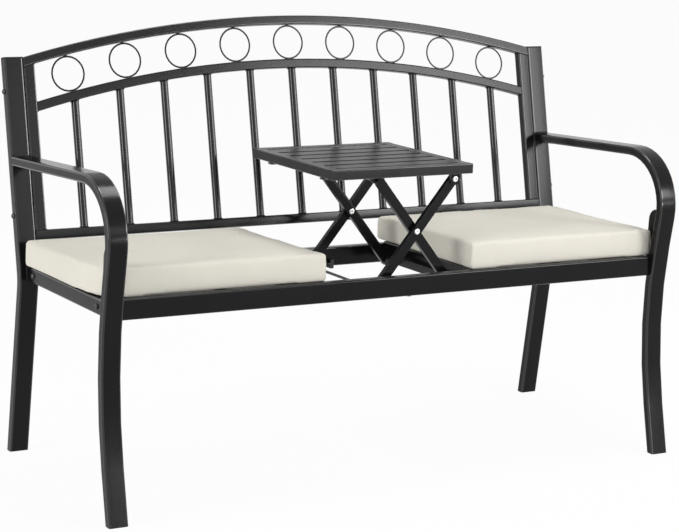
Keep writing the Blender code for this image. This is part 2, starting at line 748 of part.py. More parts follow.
# Front faces of the four leg bars, from front to rear
LEG_PITCH = LEG_BAR_THICKNESS + LEG_BAR_GAP
OUTER_FRONT = TABLE_FRONT + FRONT_LEG_SETBACK
INNER_FRONT = OUTER_FRONT + LEG_PITCH
OUTER_REAR = TABLE_REAR - REAR_LEG_SETBACK - LEG_BAR_THICKNESS
INNER_REAR = OUTER_REAR - LEG_PITCH
PIVOT_PLATE_FRONT = INNER_FRONT + LEG_BAR_THICKNESS + FIT
PIVOT_PLATE_REAR = INNER_REAR - FIT - PLATE_THICKNESS

INNER_PIVOT = empty("inner_leg_pivot", (FIXED_PIN.x, 0, FIXED_PIN.y), parent=SEAT)
OUTER_PIVOT = empty("outer_leg_pivot", (CROSS_PIN.x, 0, CROSS_PIN.y), parent=SEAT)
TABLE_PIVOT = empty("table_pivot", (HINGE_PIN.x, 0, HINGE_PIN.y), parent=SEAT)

# Runners
RUNNER_FACE = HINGE_PIN.y + ROLLER_DIAMETER / 2 + RUN_FIT
TABLE_RUNNER_WIDTH = ROLLER_WIDTH + 2 * RUNNER_LIP
FRONT_ROLLER = INNER_FRONT + LEG_BAR_THICKNESS + ROLLER_GAP
REAR_ROLLER = INNER_REAR - ROLLER_GAP - ROLLER_WIDTH
FRONT_RUNNER = FRONT_ROLLER - RUNNER_LIP
REAR_RUNNER = REAR_ROLLER - RUNNER_LIP
LEDGE_FRONT = FRONT_RUNNER + TABLE_RUNNER_WIDTH + LEDGE_INSET
LEDGE_REAR = REAR_RUNNER - LEDGE_INSET


def pin_hole(centre):
    """The hole for a pin."""
    return circle(centre, PIN_DIAMETER / 2 + PIN_FIT)


def standing(mesh, front, thickness):
    """Stand a plate up across the bench with its front face at a distance back."""
    mesh.transform(Matrix.Translation((0, front + thickness / 2, 0)) @ FRONT_VIEW)
    return mesh


def from_pivot(mesh, pin):
    """Move a mesh from the seat plane to a pivot on it."""
    mesh.transform(Matrix.Translation((-pin.x, 0, -pin.y)))
    return mesh


def cross_rod(centre, front, rear):
    """A rod from front to back."""
    mesh = rod(PIN_DIAMETER / 2, -rear, -front)
    mesh.transform(Matrix.Translation((centre.x, 0, centre.y)) @ FRONT_VIEW)
    return mesh


def facing(front, centre, toward_front):
    """The place of a rivet whose head lies on a face, toward the front or the rear."""
    turn = FRONT_VIEW if toward_front else Matrix.Rotation(math.pi, 4, "Z") @ FRONT_VIEW
    return Matrix.Translation((centre.x, front, centre.y)) @ turn


def build_legs():
    """The inner and outer leg pairs with their rods, rollers and rivets."""
    end = LEG_BAR_WIDTH / 2
    inner_loops = [bar_outline(FIXED_PIN, UPPER_ROD, LEG_BAR_WIDTH, end, LEG_SHORT_END),
                   pin_hole(FIXED_PIN), pin_hole(CROSS_PIN), pin_hole(UPPER_ROD)]
    outer_loops = [bar_outline(LOWER_ROD, HINGE_PIN, LEG_BAR_WIDTH, end, end),
                   pin_hole(LOWER_ROD), pin_hole(CROSS_PIN), pin_hole(HINGE_PIN)]
    for word, front in (("front", INNER_FRONT), ("rear", INNER_REAR)):
        bar = standing(plate(inner_loops, LEG_BAR_THICKNESS), front, LEG_BAR_THICKNESS)
        piece("inner_leg_" + word, from_pivot(bar, FIXED_PIN), PAINT, INNER_PIVOT)
    for word, front in (("front", OUTER_FRONT), ("rear", OUTER_REAR)):
        bar = standing(plate(outer_loops, LEG_BAR_THICKNESS), front, LEG_BAR_THICKNESS)
        piece("outer_leg_" + word, from_pivot(bar, CROSS_PIN), PAINT, OUTER_PIVOT)

    upper = cross_rod(UPPER_ROD, INNER_FRONT, INNER_REAR + LEG_BAR_THICKNESS)
    piece("upper_cross_rod", from_pivot(upper, FIXED_PIN), PAINT, INNER_PIVOT)
    lower = cross_rod(LOWER_ROD, SEAT_RAIL_DEPTH + ROD_END_GAP,
                      OUTER_REAR + LEG_BAR_THICKNESS + ROD_OVERHANG)
    piece("lower_cross_rod", from_pivot(lower, CROSS_PIN), PAINT, OUTER_PIVOT)

    bore = PIN_DIAMETER / 2 + PIN_FIT
    roller = turned([(bore, 0), (ROLLER_DIAMETER / 2, 0), (ROLLER_DIAMETER / 2, -ROLLER_WIDTH),
                     (bore, -ROLLER_WIDTH)], closed=True)
    for word, front in (("front", FRONT_ROLLER), ("rear", REAR_ROLLER)):
        wheel = roller.copy()
        wheel.transform(facing(front, UPPER_ROD, True))
        piece("upper_roller_" + word, from_pivot(wheel, FIXED_PIN), PLASTIC, INNER_PIVOT)

    for word, front in (("front", OUTER_FRONT), ("rear", INNER_REAR)):
        pin = rivet(2 * LEG_BAR_THICKNESS + LEG_BAR_GAP, True)
        pin.transform(facing(front, CROSS_PIN, True))
        piece("cross_rivet_" + word, from_pivot(pin, CROSS_PIN), ZINC, OUTER_PIVOT)


def build_table():
    """The table's frame, slats, runners, hinge brackets and hinge rivets."""
    left = TABLE_X - TABLE_HALF
    right = TABLE_X + TABLE_HALF
    rails = (
        ("table_front_rail", (left, TABLE_FRONT), (right, TABLE_FRONT + TABLE_RAIL), 0),
        ("table_rear_rail", (left, TABLE_REAR - TABLE_RAIL), (right, TABLE_REAR), 0),
        ("table_left_rail", (left, TABLE_FRONT + TABLE_RAIL + FIT),
         (left + TABLE_RAIL, TABLE_REAR - TABLE_RAIL - FIT), 1),
        ("table_right_rail", (right - TABLE_RAIL, TABLE_FRONT + TABLE_RAIL + FIT),
         (right, TABLE_REAR - TABLE_RAIL - FIT), 1),
    )
    for name, low, high, axis in rails:
        rail = box((*low, TABLE_LOW), (*high, TABLE_TOP), TABLE_CORNER, axis)
        piece(name, from_pivot(rail, HINGE_PIN), PAINT, TABLE_PIVOT)

    slats = slat_row(left + TABLE_RAIL + FIT, right - TABLE_RAIL - FIT, TABLE_FRONT + TABLE_RAIL,
                     TABLE_REAR - TABLE_RAIL, TABLE_SLAT_WIDTH, TABLE_SLAT_COUNT,
                     TABLE_TOP - TABLE_SLAT_DROP)
    piece("table_slats", from_pivot(slats, HINGE_PIN), PAINT, TABLE_PIVOT)

    stop_left = UPPER_ROD.x + ROLLER_DIAMETER / 2 + FIT
    stop_low = RUNNER_FACE - STOP_HEIGHT
    strip_top = TABLE_LOW - FIT
    loop = [Vector(place) for place in (
        (left, strip_top), (left, RUNNER_FACE), (stop_left, RUNNER_FACE), (stop_left, stop_low),
        (stop_left + STOP_WIDTH, stop_low), (stop_left + STOP_WIDTH, RUNNER_FACE),
        (right, RUNNER_FACE), (right, strip_top))]
    for word, front in (("front", FRONT_RUNNER), ("rear", REAR_RUNNER)):
        strip = standing(plate([loop], TABLE_RUNNER_WIDTH), front, TABLE_RUNNER_WIDTH)
        piece("table_runner_" + word, from_pivot(strip, HINGE_PIN), PAINT, TABLE_PIVOT)

    half = BRACKET_WIDTH / 2
    hang = arc_points(HINGE_PIN, half, 0, -math.pi, ROUND_STEPS // 2)
    loop = [Vector((HINGE_PIN.x - half, strip_top)), Vector((HINGE_PIN.x + half, strip_top))] + hang
    front = OUTER_FRONT - PLATE_GAP - PLATE_THICKNESS
    rear = OUTER_REAR + LEG_BAR_THICKNESS + PLATE_GAP
    for word, start, head, toward_front in (("front", front, front, True),
                                            ("rear", rear, rear + PLATE_THICKNESS, False)):
        bracket = standing(plate([loop, pin_hole(HINGE_PIN)], PLATE_THICKNESS), start, PLATE_THICKNESS)
        piece("table_bracket_" + word, from_pivot(bracket, HINGE_PIN), PAINT, TABLE_PIVOT)
        pin = rivet(PLATE_THICKNESS + PLATE_GAP + LEG_BAR_THICKNESS, False)
        pin.transform(facing(head, HINGE_PIN, toward_front))
        piece("table_rivet_" + word, from_pivot(pin, HINGE_PIN), ZINC, TABLE_PIVOT)


# Seat frame and cushions

def slat_row(left, right, front, rear, width, count, top):
    """Evenly spaced slats from left to right, welded on a strap under their middles."""
    space = (rear - front - count * width) / (count + 1)
    under = top - SLAT_THICKNESS
    middle = (left + right) / 2
    slats = []
    for index in range(count):
        start = front + space + index * (width + space)
        slats.append(box((left, start, under), (right, start + width, top)))
    strap = box((middle - STRAP_WIDTH / 2, front + FIT, under - STRAP_THICKNESS + WELD),
                (middle + STRAP_WIDTH / 2, rear - FIT, under + WELD))
    return fused(strap, slats)


def pivot_plates():
    """The plates on the right inner rail that hold the fixed pins of the inner legs."""
    end = LEG_BAR_WIDTH / 2
    wall = WELL_HALF + WELD
    loop = [Vector((wall, PIN_LOW - end)), Vector((wall, PIN_LOW + end))]
    loop += arc_points(FIXED_PIN, end, math.pi / 2, 3 * math.pi / 2, ROUND_STEPS // 2)
    return [standing(plate([loop, pin_hole(FIXED_PIN)], PLATE_THICKNESS), start, PLATE_THICKNESS)
            for start in (PIVOT_PLATE_FRONT, PIVOT_PLATE_REAR)]


def build_seat_frame():
    """Rails, ledges, slats, bolts, pivot plates and the runners for the lower rod."""
    low = -SEAT_RAIL_HEIGHT
    half = FRAME_INNER - FIT
    front = box((-half, 0, low), (half, SEAT_RAIL_DEPTH, 0), SEAT_CORNER, 0)
    piece("seat_front_rail", front, PAINT, SEAT)
    end_inner = half - END_RAIL_WIDTH
    rear = box((-end_inner + FIT, SEAT_REAR, low - REAR_RAIL_DROP),
               (end_inner - FIT, SEAT_BACK, -REAR_RAIL_DROP), SEAT_CORNER, 0)
    piece("seat_rear_rail", rear, PAINT, SEAT)

    inner_outer = WELL_HALF + INNER_RAIL_WIDTH
    for word, side in SIDES:
        ends = sorted((side * end_inner, side * half))
        end = box((ends[0], SEAT_RAIL_DEPTH + FIT, low), (ends[1], SEAT_BACK, 0), SEAT_CORNER, 1)
        end = piece("seat_end_rail_" + word, end, PAINT, SEAT)
        cut(end, bpy.data.objects["seat_bolt_holes_" + word])
        names = ("seat_bolt_front_" + word, "seat_bolt_rear_" + word)
        bolt_row(names, side, SIDE_RAIL_WIDTH + BOLT_GRIP, FRAME_INNER + SIDE_RAIL_WIDTH,
                 seat_bolt_places(), SEAT)

        ends = sorted((side * WELL_HALF, side * inner_outer))
        rail = box((ends[0], SEAT_RAIL_DEPTH + FIT, low), (ends[1], SEAT_REAR - FIT, 0), SEAT_CORNER, 1)
        rail = fused(rail, pivot_plates()) if side > 0 else rail
        piece("seat_inner_rail_" + word, rail, PAINT, SEAT)
        ends = sorted((side * (WELL_HALF - LEDGE_WIDTH), side * (WELL_HALF - FIT)))
        height = LEDGE_HEIGHT_RIGHT if side > 0 else LEDGE_HEIGHT_LEFT
        ledge = box((ends[0], LEDGE_FRONT, LEDGE_TOP - height), (ends[1], LEDGE_REAR, LEDGE_TOP))
        piece("table_ledge_" + word, ledge, PAINT, SEAT)

        ends = sorted((side * (inner_outer + FIT), side * (end_inner - FIT)))
        slats = slat_row(*ends, SEAT_RAIL_DEPTH, SEAT_REAR, SEAT_SLAT_WIDTH, SEAT_SLAT_COUNT, 0)
        piece("seat_slats_" + word, slats, PAINT, SEAT)

    heads = (("front", PIVOT_PLATE_FRONT + PLATE_THICKNESS, False), ("rear", PIVOT_PLATE_REAR, True))
    for word, head, toward_front in heads:
        pin = rivet(PLATE_THICKNESS + FIT + LEG_BAR_THICKNESS, False)
        pin.transform(facing(head, FIXED_PIN, toward_front))
        piece("pivot_rivet_" + word, pin, BLACK_ZINC, SEAT)

    top = PIN_LOW - PIN_DIAMETER / 2 - FIT
    under = top - RUNNER_THICKNESS
    runner_left = -WELL_HALF + SEAT_RUNNER_INSET
    runner_right = LOWER_ROD.x + LUG_REACH
    lug_left = runner_right - LUG_WIDTH
    loop = [Vector(place) for place in (
        (runner_left, top), (runner_left, under), (lug_left, under), (lug_left, under - LUG_DROP),
        (runner_right, under - LUG_DROP), (runner_right, top + LUG_RISE), (lug_left, top + LUG_RISE),
        (lug_left, top))]
    runners = (("front", SEAT_RAIL_DEPTH + FIT, FRONT_RUNNER_WIDTH),
               ("rear", SEAT_REAR - FIT - REAR_RUNNER_WIDTH, REAR_RUNNER_WIDTH))
    for word, start, width in runners:
        piece("seat_runner_" + word, standing(plate([loop], width), start, width), PAINT, SEAT)


def cushion_cage(low, high, gusset_end, spill, slump):
    """A box cut into a coarse cage, crowned on top and drawn in between its corners.

    Behind the gusset its left side lies further out by the spill, and its top falls
    towards the rear by the slump.
    """
    bm = bmesh.new()
    middle = [(a + b) / 2 for a, b in zip(low, high)]
    size = [b - a for a, b in zip(low, high)]
    bmesh.ops.create_cube(bm, size=1, matrix=Matrix.LocRotScale(middle, None, size))
    for axis in range(3):
        inset = CUSHION_EDGE / size[axis]
        shares = [inset, 1 - inset] if axis == 2 else [inset, 0.25, 0.5, 0.75, 1 - inset]
        if axis == 1:
            shares.append((gusset_end + CUSHION_EDGE - low[1]) / size[1])
        normal = [0, 0, 0]
        normal[axis] = 1
        for share in shares:
            place = list(low)
            place[axis] += size[axis] * share
            bmesh.ops.bisect_plane(bm, geom=bm.verts[:] + bm.edges[:] + bm.faces[:], dist=1e-6,
                                   plane_co=place, plane_no=normal)
    for vert in bm.verts:
        across, back, up = (2 * (value - centre) / length
                            for value, centre, length in zip(vert.co, middle, size))
        bow_across = 1 - back * back
        bow_back = 1 - across * across
        behind = vert.co.y > gusset_end + 2 * CUSHION_EDGE
        vert.co.x -= across * CUSHION_DRAW * bow_across + max(-across, 0) * spill * behind
        vert.co.y -= back * CUSHION_DRAW * bow_back
        vert.co.z += max(up, 0) * (CUSHION_CROWN * bow_across * bow_back - slump * (back + 1) / 2)
    mesh = bpy.data.meshes.new("cushion")
    bm.to_mesh(mesh)
    bm.free()
    return clean(mesh)


def build_cushions():
    """Two soft box cushions on the seat."""
    outer = FRAME_MIDDLE - GUSSET_THICKNESS / 2 - CUSHION_TO_GUSSET
    gusset_end = max(point.x for point in gusset_outline()) - SEAT_Y
    for word, side in SIDES:
        gap = CUSHION_GAP_RIGHT if side > 0 else CUSHION_GAP_LEFT
        ends = sorted((side * (WELL_HALF + gap), side * outer))
        low = (ends[0], CUSHION_SETBACK, FIT)
        high = (ends[1], SEAT_BACK + CUSHION_OVERHANG, FIT + CUSHION_THICKNESS)
        spread = (0, CUSHION_SLUMP_RIGHT) if side > 0 else (CUSHION_SPILL, CUSHION_SLUMP_LEFT)
        cage = cushion_cage(low, high, gusset_end, *spread)
        cushion = piece("cushion_" + word, cage, FABRIC, SEAT)
        soft = cushion.modifiers.new("soft", "SUBSURF")
        soft.levels = 1
        soft.render_levels = 1


build_side_frames()
build_back_panel()
build_seat_frame()
build_legs()
build_table()
build_cushions()
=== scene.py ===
"""Garden bench with an arched back and a scissor table that folds into the seat:
coated steel, fasteners, weld beads and two box cushions, dressed over the bench's solids."""

import json
import math

import bmesh
import bpy
from bpy.props import FloatProperty, FloatVectorProperty, PointerProperty
from mathutils import Matrix, Vector, noise
from mathutils.bvhtree import BVHTree
from mathutils.kdtree import KDTree

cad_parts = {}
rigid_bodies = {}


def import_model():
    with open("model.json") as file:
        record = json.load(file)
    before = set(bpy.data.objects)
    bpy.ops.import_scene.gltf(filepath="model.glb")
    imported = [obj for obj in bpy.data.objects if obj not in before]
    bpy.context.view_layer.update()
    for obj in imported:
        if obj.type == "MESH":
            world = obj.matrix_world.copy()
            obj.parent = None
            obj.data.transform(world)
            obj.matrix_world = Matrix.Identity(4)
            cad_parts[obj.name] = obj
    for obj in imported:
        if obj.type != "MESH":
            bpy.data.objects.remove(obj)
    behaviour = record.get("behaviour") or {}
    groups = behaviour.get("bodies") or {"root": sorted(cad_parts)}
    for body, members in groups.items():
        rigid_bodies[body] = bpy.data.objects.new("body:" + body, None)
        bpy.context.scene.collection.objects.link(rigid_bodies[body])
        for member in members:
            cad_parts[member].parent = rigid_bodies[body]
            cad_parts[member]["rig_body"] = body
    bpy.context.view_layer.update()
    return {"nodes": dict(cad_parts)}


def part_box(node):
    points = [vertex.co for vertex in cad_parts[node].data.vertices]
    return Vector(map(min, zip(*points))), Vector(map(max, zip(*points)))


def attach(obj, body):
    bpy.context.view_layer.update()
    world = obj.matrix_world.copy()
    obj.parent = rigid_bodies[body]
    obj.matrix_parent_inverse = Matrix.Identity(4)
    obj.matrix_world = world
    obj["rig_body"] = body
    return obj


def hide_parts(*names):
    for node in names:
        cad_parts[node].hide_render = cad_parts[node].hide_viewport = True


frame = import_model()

bl_info = {
    "name": "Garden bench with a folding table",
    "version": (1, 0, 0),
    "blender": (4, 5, 0),
    "location": "3D View > Sidebar > Bench",
    "description": "Coated steel, fasteners, weld beads and cushions of a garden bench",
    "category": "Object",
}

# The tilted planes of the seat and of the back panel, as in the solids
SEAT_PLANE = Matrix.Translation((0, -0.23387, 0.4128)) @ Matrix.Rotation(math.radians(-2.5), 4, "X")
PANEL_PLANE = Matrix.Translation((0, 0.1496, 0.3584)) @ Matrix.Rotation(math.radians(-14.74), 4, "X")

# Back panel places, in its plane
PANEL_DEPTH = 0.019
PANEL_MIDDLE = PANEL_DEPTH / 2
BOTTOM_RAIL_TOP = 0.0995
STILE_INNER = 0.5777
ARCH_CENTRE = -1.88796
TOP_ARCH_TOP = 2.40386
TOP_ARCH_UNDER = 2.38486
LOWER_ARCH_TOP = 2.31266
LOWER_ARCH_UNDER = 2.29366
BAR_COUNT = 11
BAR_FIRST = -0.4945
BAR_LAST = 0.4992
BAR_RADIUS = 0.008
RING_COUNT = 9
RING_FIRST = -0.5047
RING_LAST = 0.5012
RING_RADIUS = 0.0362

# Side frame places: the arm's end in the panel's plane, the side rail's ends in the seat's plane
FRAME_INNER = 0.602
FRAME_OUTER = 0.642
ARM_END_TOP = 0.2462
ARM_END_FOOT = 0.2269
SIDE_RAIL_OUTER = 0.627
SIDE_RAIL_TOP = -0.007
SIDE_RAIL_FOOT = -0.037
RAIL_AT_LEG = (0.0042, 0.0125)
RAIL_AT_POST = (0.3915, 0.3864)
GUSSET_FACE = 0.624
GUSSET_DEPTH = 0.030

# Bolts: the dome of a head as shares of its radius and height
BOLT_HEAD = 0.0037
BOLT_SHANK = 0.003
BOLT_FLAT = 0.0024  # radius of the flats on the head and at the tip
BOLT_CHAMFER = 0.0006
BOLT_DOME = ((0.52, 0.97), (0.74, 0.80), (0.90, 0.52), (0.98, 0.22), (1.0, 0.02), (0.97, 0.0))
BOLT_STEPS = 36
SOCKET_RIM = 0.0003
SOCKET_DEPTH = 0.6  # share of the height of the head

# Rivets: a head from its hole over the lip to the flange, as radius and height
RIVET_HEAD = 0.0012
RIVET_SHANK = 0.003
RIVET_PROFILE = ((0.0000, -0.0012), (0.0017, -0.0012), (0.0019, 0.0004), (0.0024, 0.0010),
                 (0.0031, 0.0012), (0.0042, 0.0011), (0.0052, 0.0008), (0.0058, 0.0004),
                 (0.0060, 0.00015), (RIVET_SHANK, 0.00015))
RIVET_STEPS = 32

# Weld beads: where they end before an edge, and their thickness as shares of a plain bead
BEAD_END = 0.002
BEAD_INSET = 0.003
BEAD_SUNK = 0.0008
GUSSET_BEAD_START = 0.004
THIN_BEAD = 0.8
FLUSH_BEAD = 0.75
HEAVY_BEAD = 1.4
BEAD_TIP = 0.45
RIPPLE_PITCH = 0.75
COLLAR_STEPS = 26
TACK_SHAPE = (2.6, 1.7, 1.0)

# Gloss and painted highlight of corners and rods as a share of the coat's, and the coats' reflection
RING_GLOSS_AND_PAINTED_HIGHLIGHT = 0.1
BAR_GLOSS_AND_PAINTED_HIGHLIGHT = 0.5
FRONT_RAIL_GLOSS_AND_PAINTED_HIGHLIGHT = 0.2
COAT_SPECULAR = 0.14
TABLE_SPECULAR = 0.24

# Cushion places, in the seat's plane
SIDE_RAIL_INNER = -0.6023
GUSSET_END = 0.0374
CORNER_INSET = 0.022
FILL_FRAMES = 20
TOP_EDGE = 0.036  # from here up a cover's edges are softened
SWELLS = ((9.0, 0.0012), (31.0, 0.0004))  # how fine and how high the unevenness of a cover is
CREASE_WIDTH = 0.012
SEAT_CONTACT = 0.0036  # up to here a cover lies flat on the seat
SEAT_CLEARANCE = 0.0002
DROOP_HEIGHT = 0.03
RAIL_FADE = 0.006
GUSSET_CLEARANCE = 0.006
GUSSET_FADE = 0.01
SEAM_STEP = 0.004
SEAM_POINTS = 10
SEAM_REACH = 0.03
SEAM_SUNK = 0.35
CREASES = {"cushion_left": (((-0.560, 0.330), (-0.470, 0.120)), ((-0.300, 0.345), (-0.190, 0.250))),
           "cushion_right": (((0.455, 0.262), (0.545, 0.100)), ((0.520, 0.340), (0.590, 0.190)),
                             ((0.575, 0.060), (0.612, 0.018)))}

# Stage
FLOOR_HALF = 12
FLOOR_DROP = 0.0005
FLOOR_GLOW = 0.95  # share of the floor that is white wherever it is seen directly
SENSOR_WIDTH = 36.0

# Meshes
MERGE = 1e-5
SPIN_MERGE = 1e-6
NARROW = 0.0034  # a face is a corner or a rod where its area is under this times its longest edge
BEAD_SHARP_ANGLE = math.radians(80)
FLAT_ANGLE = math.radians(0.3)
SHARP_ANGLE = math.radians(34)


# Materials

class Value:
    """An output of a finish's nodes. Arithmetic on it adds Math nodes."""

    def __init__(self, finish, socket):
        self.finish = finish
        self.socket = socket

    def math(self, operation, first, second=0.0):
        return self.finish.node("ShaderNodeMath", {"operation": operation}, {0: first, 1: second})

    def __add__(self, other):
        return self.math("ADD", self, other)

    def __sub__(self, other):
        return self.math("SUBTRACT", self, other)

    def __rsub__(self, other):
        return self.math("SUBTRACT", other, self)

    def __mul__(self, other):
        return self.math("MULTIPLY", self, other)

    def __gt__(self, other):
        return self.math("GREATER_THAN", self, other)

    def __abs__(self):
        return self.math("ABSOLUTE", self)

    __radd__ = __add__
    __rmul__ = __mul__

    def sine(self):
        return self.math("SINE", self)


class Finish:
    """A material made of nodes around one Principled shader."""

    def __init__(self, name, colour, roughness, metallic=0.0, **constants):
        self.material = bpy.data.materials.new(name)
        self.material.use_nodes = True
        self.tree = self.material.node_tree
        self.shader = self.tree.nodes["Principled BSDF"]
        self.material.diffuse_color = (*colour, 1)
        self.set("Base Color", (*colour, 1))
        self.set("Roughness", roughness)
        self.set("Metallic", metallic)
        for key, value in constants.items():
            self.set(key.replace("_", " "), value)

    def set(self, socket, value):
        self.feed(self.shader.inputs[socket], value)

    def feed(self, socket, value):
        if isinstance(value, Value):
            self.tree.links.new(value.socket, socket)
        else:
            socket.default_value = value

    def node(self, kind, settings, sockets, output=0):
        """Add a node: its settings first, then the values or links of its sockets."""
        made = self.tree.nodes.new(kind)
        for key, value in settings.items():
            setattr(made, key, value)
        for key, value in sockets.items():
            self.feed(made.inputs[key], value)
        return Value(self, made.outputs[output])

    def noise(self, place, scale, detail=2.0):
        return self.node("ShaderNodeTexNoise", {},
                         {"Vector": place, "Scale": scale, "Detail": detail, "Roughness": 0.55})

    def mix(self, share, first, second):
        """A colour between two, clear of the Math nodes."""
        return self.node("ShaderNodeMix", {"data_type": "RGBA"},
                         {0: share, 6: (*first, 1) if isinstance(first, tuple) else first,
                          7: (*second, 1) if isinstance(second, tuple) else second}, 2)

    def bump(self, height, distance, strength=1.0):
        self.set("Normal", self.node("ShaderNodeBump", {},
                                     {"Strength": strength, "Distance": distance, "Height": height}))

    def object_place(self):
        return self.node("ShaderNodeTexCoord", {}, {}, "Object")


def shade(colour, factor):
    """A colour made lighter or darker."""
    return tuple(min(1.0, value * factor) for value in colour)


def powder_coat(name, steel, roughness, specular):
    """Black powder coat: orange peel, a fine grit, a glossier skin round corners and rods, and a painted
    highlight that lightens the colour there.
    """
    colour = tuple(steel.coat_colour)
    finish = Finish(name, colour, roughness, Specular_IOR_Level=specular, Coat_Roughness=0.10)
    place = finish.object_place()
    cloud = finish.noise(place, 6.0, 3.0)
    peel = finish.noise(place, 420.0)
    grit = finish.noise(place, 2100.0)
    edge = finish.node("ShaderNodeAttribute", {"attribute_name": "rounded"}, {}, "Fac")
    # Corners, bars and rods are made glossier, and their colour is mixed lighter as a painted highlight
    glossy_painted_corners = edge * (finish.noise(place, 60.0) * 0.9 + 0.1)
    base = finish.mix(cloud, shade(colour, 0.78), shade(colour, 1.22))
    # the lighter colour on corners, bars and rods is a painted highlight
    finish.set("Base Color", finish.mix(glossy_painted_corners * 0.5, base, shade(colour, 2.1)))
    finish.set("Roughness", (cloud - 0.5) * 0.14 + grit * 0.07 + roughness - glossy_painted_corners * 0.06)
    finish.set("Coat Weight", cloud * 0.06 + edge * steel.corner_gloss)
    finish.bump(peel * 0.75 + grit * 0.25, 0.00025, 0.35)
    return finish.material


def moulded_plastic():
    """Black moulded plastic with a fine spark-eroded grain."""
    finish = Finish("moulded_plastic", (0.014, 0.014, 0.015), 0.55, Specular_IOR_Level=0.35)
    place = finish.object_place()
    grain = finish.noise(place, 1500.0, 3.0)
    cloud = finish.noise(place, 25.0)
    finish.set("Base Color", finish.mix(cloud, (0.010, 0.010, 0.011), (0.020, 0.020, 0.021)))
    finish.set("Roughness", grain * 0.16 + 0.46)
    finish.bump(grain, 0.0002, 0.5)
    return finish.material


def bright_zinc():
    """Bright zinc plate with faint drawing lines and a clouded passivation."""
    finish = Finish("bright_zinc", (0.66, 0.66, 0.67), 0.28, 1.0)
    place = finish.object_place()
    cloud = finish.noise(place, 90.0, 3.0)
    drawn = finish.node("ShaderNodeMapping", {}, {"Vector": place, "Scale": (3200, 180, 3200)})
    lines = finish.noise(drawn, 1.0)
    finish.set("Base Color", finish.mix(cloud, (0.52, 0.53, 0.55), (0.80, 0.79, 0.76)))
    finish.set("Roughness", cloud * 0.16 + lines * 0.12 + 0.14)
    finish.bump(lines, 0.0001, 0.35)
    return finish.material


def black_zinc():
    """Black plated steel of the bolts, with a painted highlight on the top of each head."""
    finish = Finish("black_plated_steel", (0.06, 0.06, 0.064), 0.3, 0.85)
    place = finish.object_place()
    cloud = finish.noise(place, 160.0, 3.0)
    grit = finish.noise(place, 1800.0)
    edge = finish.node("ShaderNodeAttribute", {"attribute_name": "rounded"}, {}, "Fac")
    base = finish.mix(cloud, (0.040, 0.040, 0.043), (0.085, 0.084, 0.086))
    # the top of each bolt head is mixed towards light grey: a painted highlight
    finish.set("Base Color", finish.mix(edge * 0.6, base, (0.26, 0.26, 0.265)))
    finish.set("Roughness", cloud * 0.14 + grit * 0.06 + 0.20)
    finish.bump(grit, 0.00012, 0.4)
    return finish.material


def woven_fabric(cushions):
    """Cream plain weave: threads over and under in the piece's own map, slubs, a faint mottle and painted
    shade between the threads.
    """
    colour = tuple(cushions.fabric_colour)
    finish = Finish("cream_plain_weave", colour, 0.92, Specular_IOR_Level=0.15,
                    Sheen_Weight=0.12, Sheen_Roughness=0.5)
    across = math.pi / cushions.thread_pitch
    weave_map = finish.node("ShaderNodeUVMap", {"uv_map": "weave"}, {})
    parts = finish.node("ShaderNodeSeparateXYZ", {}, {0: weave_map})
    back = Value(finish, parts.socket.node.outputs[1])
    warp = (parts * across).sine()
    weft = (back * across).sine()
    over = warp * weft > 0.0
    thread = over * abs(warp) + (1.0 - over) * abs(weft)
    slubs = []
    for scale in ((1300, 45, 1), (45, 1300, 1)):
        stretched = finish.node("ShaderNodeMapping", {}, {"Vector": weave_map, "Scale": scale})
        slubs.append(finish.noise(stretched, 1.0))
    slub = over * slubs[0] + (1.0 - over) * slubs[1]
    mottle = finish.noise(finish.object_place(), 14.0, 4.0)
    worn = finish.mix(mottle, shade(colour, 0.955), shade(colour, 1.02))
    # painted shade in the dips between the threads, and darker slubs
    painted_shade_and_slubs = (1.0 - thread) * 0.16 + slub * 0.08
    finish.set("Base Color", finish.mix(painted_shade_and_slubs, worn, shade(colour, 0.66)))
    finish.set("Roughness", 0.96 - thread * 0.08)
    finish.bump(thread * 0.7 + slub * 0.5, 0.00035, 0.5)
    return finish.material


# Pieces

def finish_for(slot, matt):
    """The material that dresses one of the bench's finishes, made once."""
    names = {"black_powder_coat": "matt_powder_coat" if matt else "satin_powder_coat",
             "black_plastic": "moulded_plastic", "zinc_plate": "bright_zinc",
             "black_zinc": "black_plated_steel", "cream_fabric": "cream_plain_weave"}
    found = bpy.data.materials.get(names[slot])
    if found:
        return found
    scene = bpy.context.scene
    steel = scene.bench_steel
    coat = (steel.coat_roughness, COAT_SPECULAR)
    if matt:
        coat = (steel.table_roughness, TABLE_SPECULAR)
    makers = {"black_powder_coat": lambda: powder_coat(names[slot], steel, *coat),
              "black_plastic": moulded_plastic, "zinc_plate": bright_zinc, "black_zinc": black_zinc,
              "cream_fabric": lambda: woven_fabric(scene.bench_cushions)}
    return makers[slot]()


def made_piece(name, bm, slot, body, replaced=(), matt=False):
    """A finished piece from a bmesh, on its body and in place of its solids."""
    mesh = bpy.data.meshes.new(name)
    bm.to_mesh(mesh)
    bm.free()
    mesh.materials.append(finish_for(slot, matt))
    obj = bpy.data.objects.new(name, mesh)
    bpy.context.scene.collection.objects.link(obj)
    if replaced:
        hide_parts(*replaced)
    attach(obj, body)
    return obj


def smooth_faces(bm, sharp=SHARP_ANGLE):
    """Shade faces smooth and keep the edges past an angle sharp."""
    for face in bm.faces:
        face.smooth = True
    for edge in bm.edges:
        edge.smooth = len(edge.link_faces) == 2 and edge.calc_face_angle() < sharp


def even_normals(obj):
    """Let the large faces lead the shading."""
    weighted = obj.modifiers.new("even_shading", "WEIGHTED_NORMAL")
    weighted.keep_sharp = True


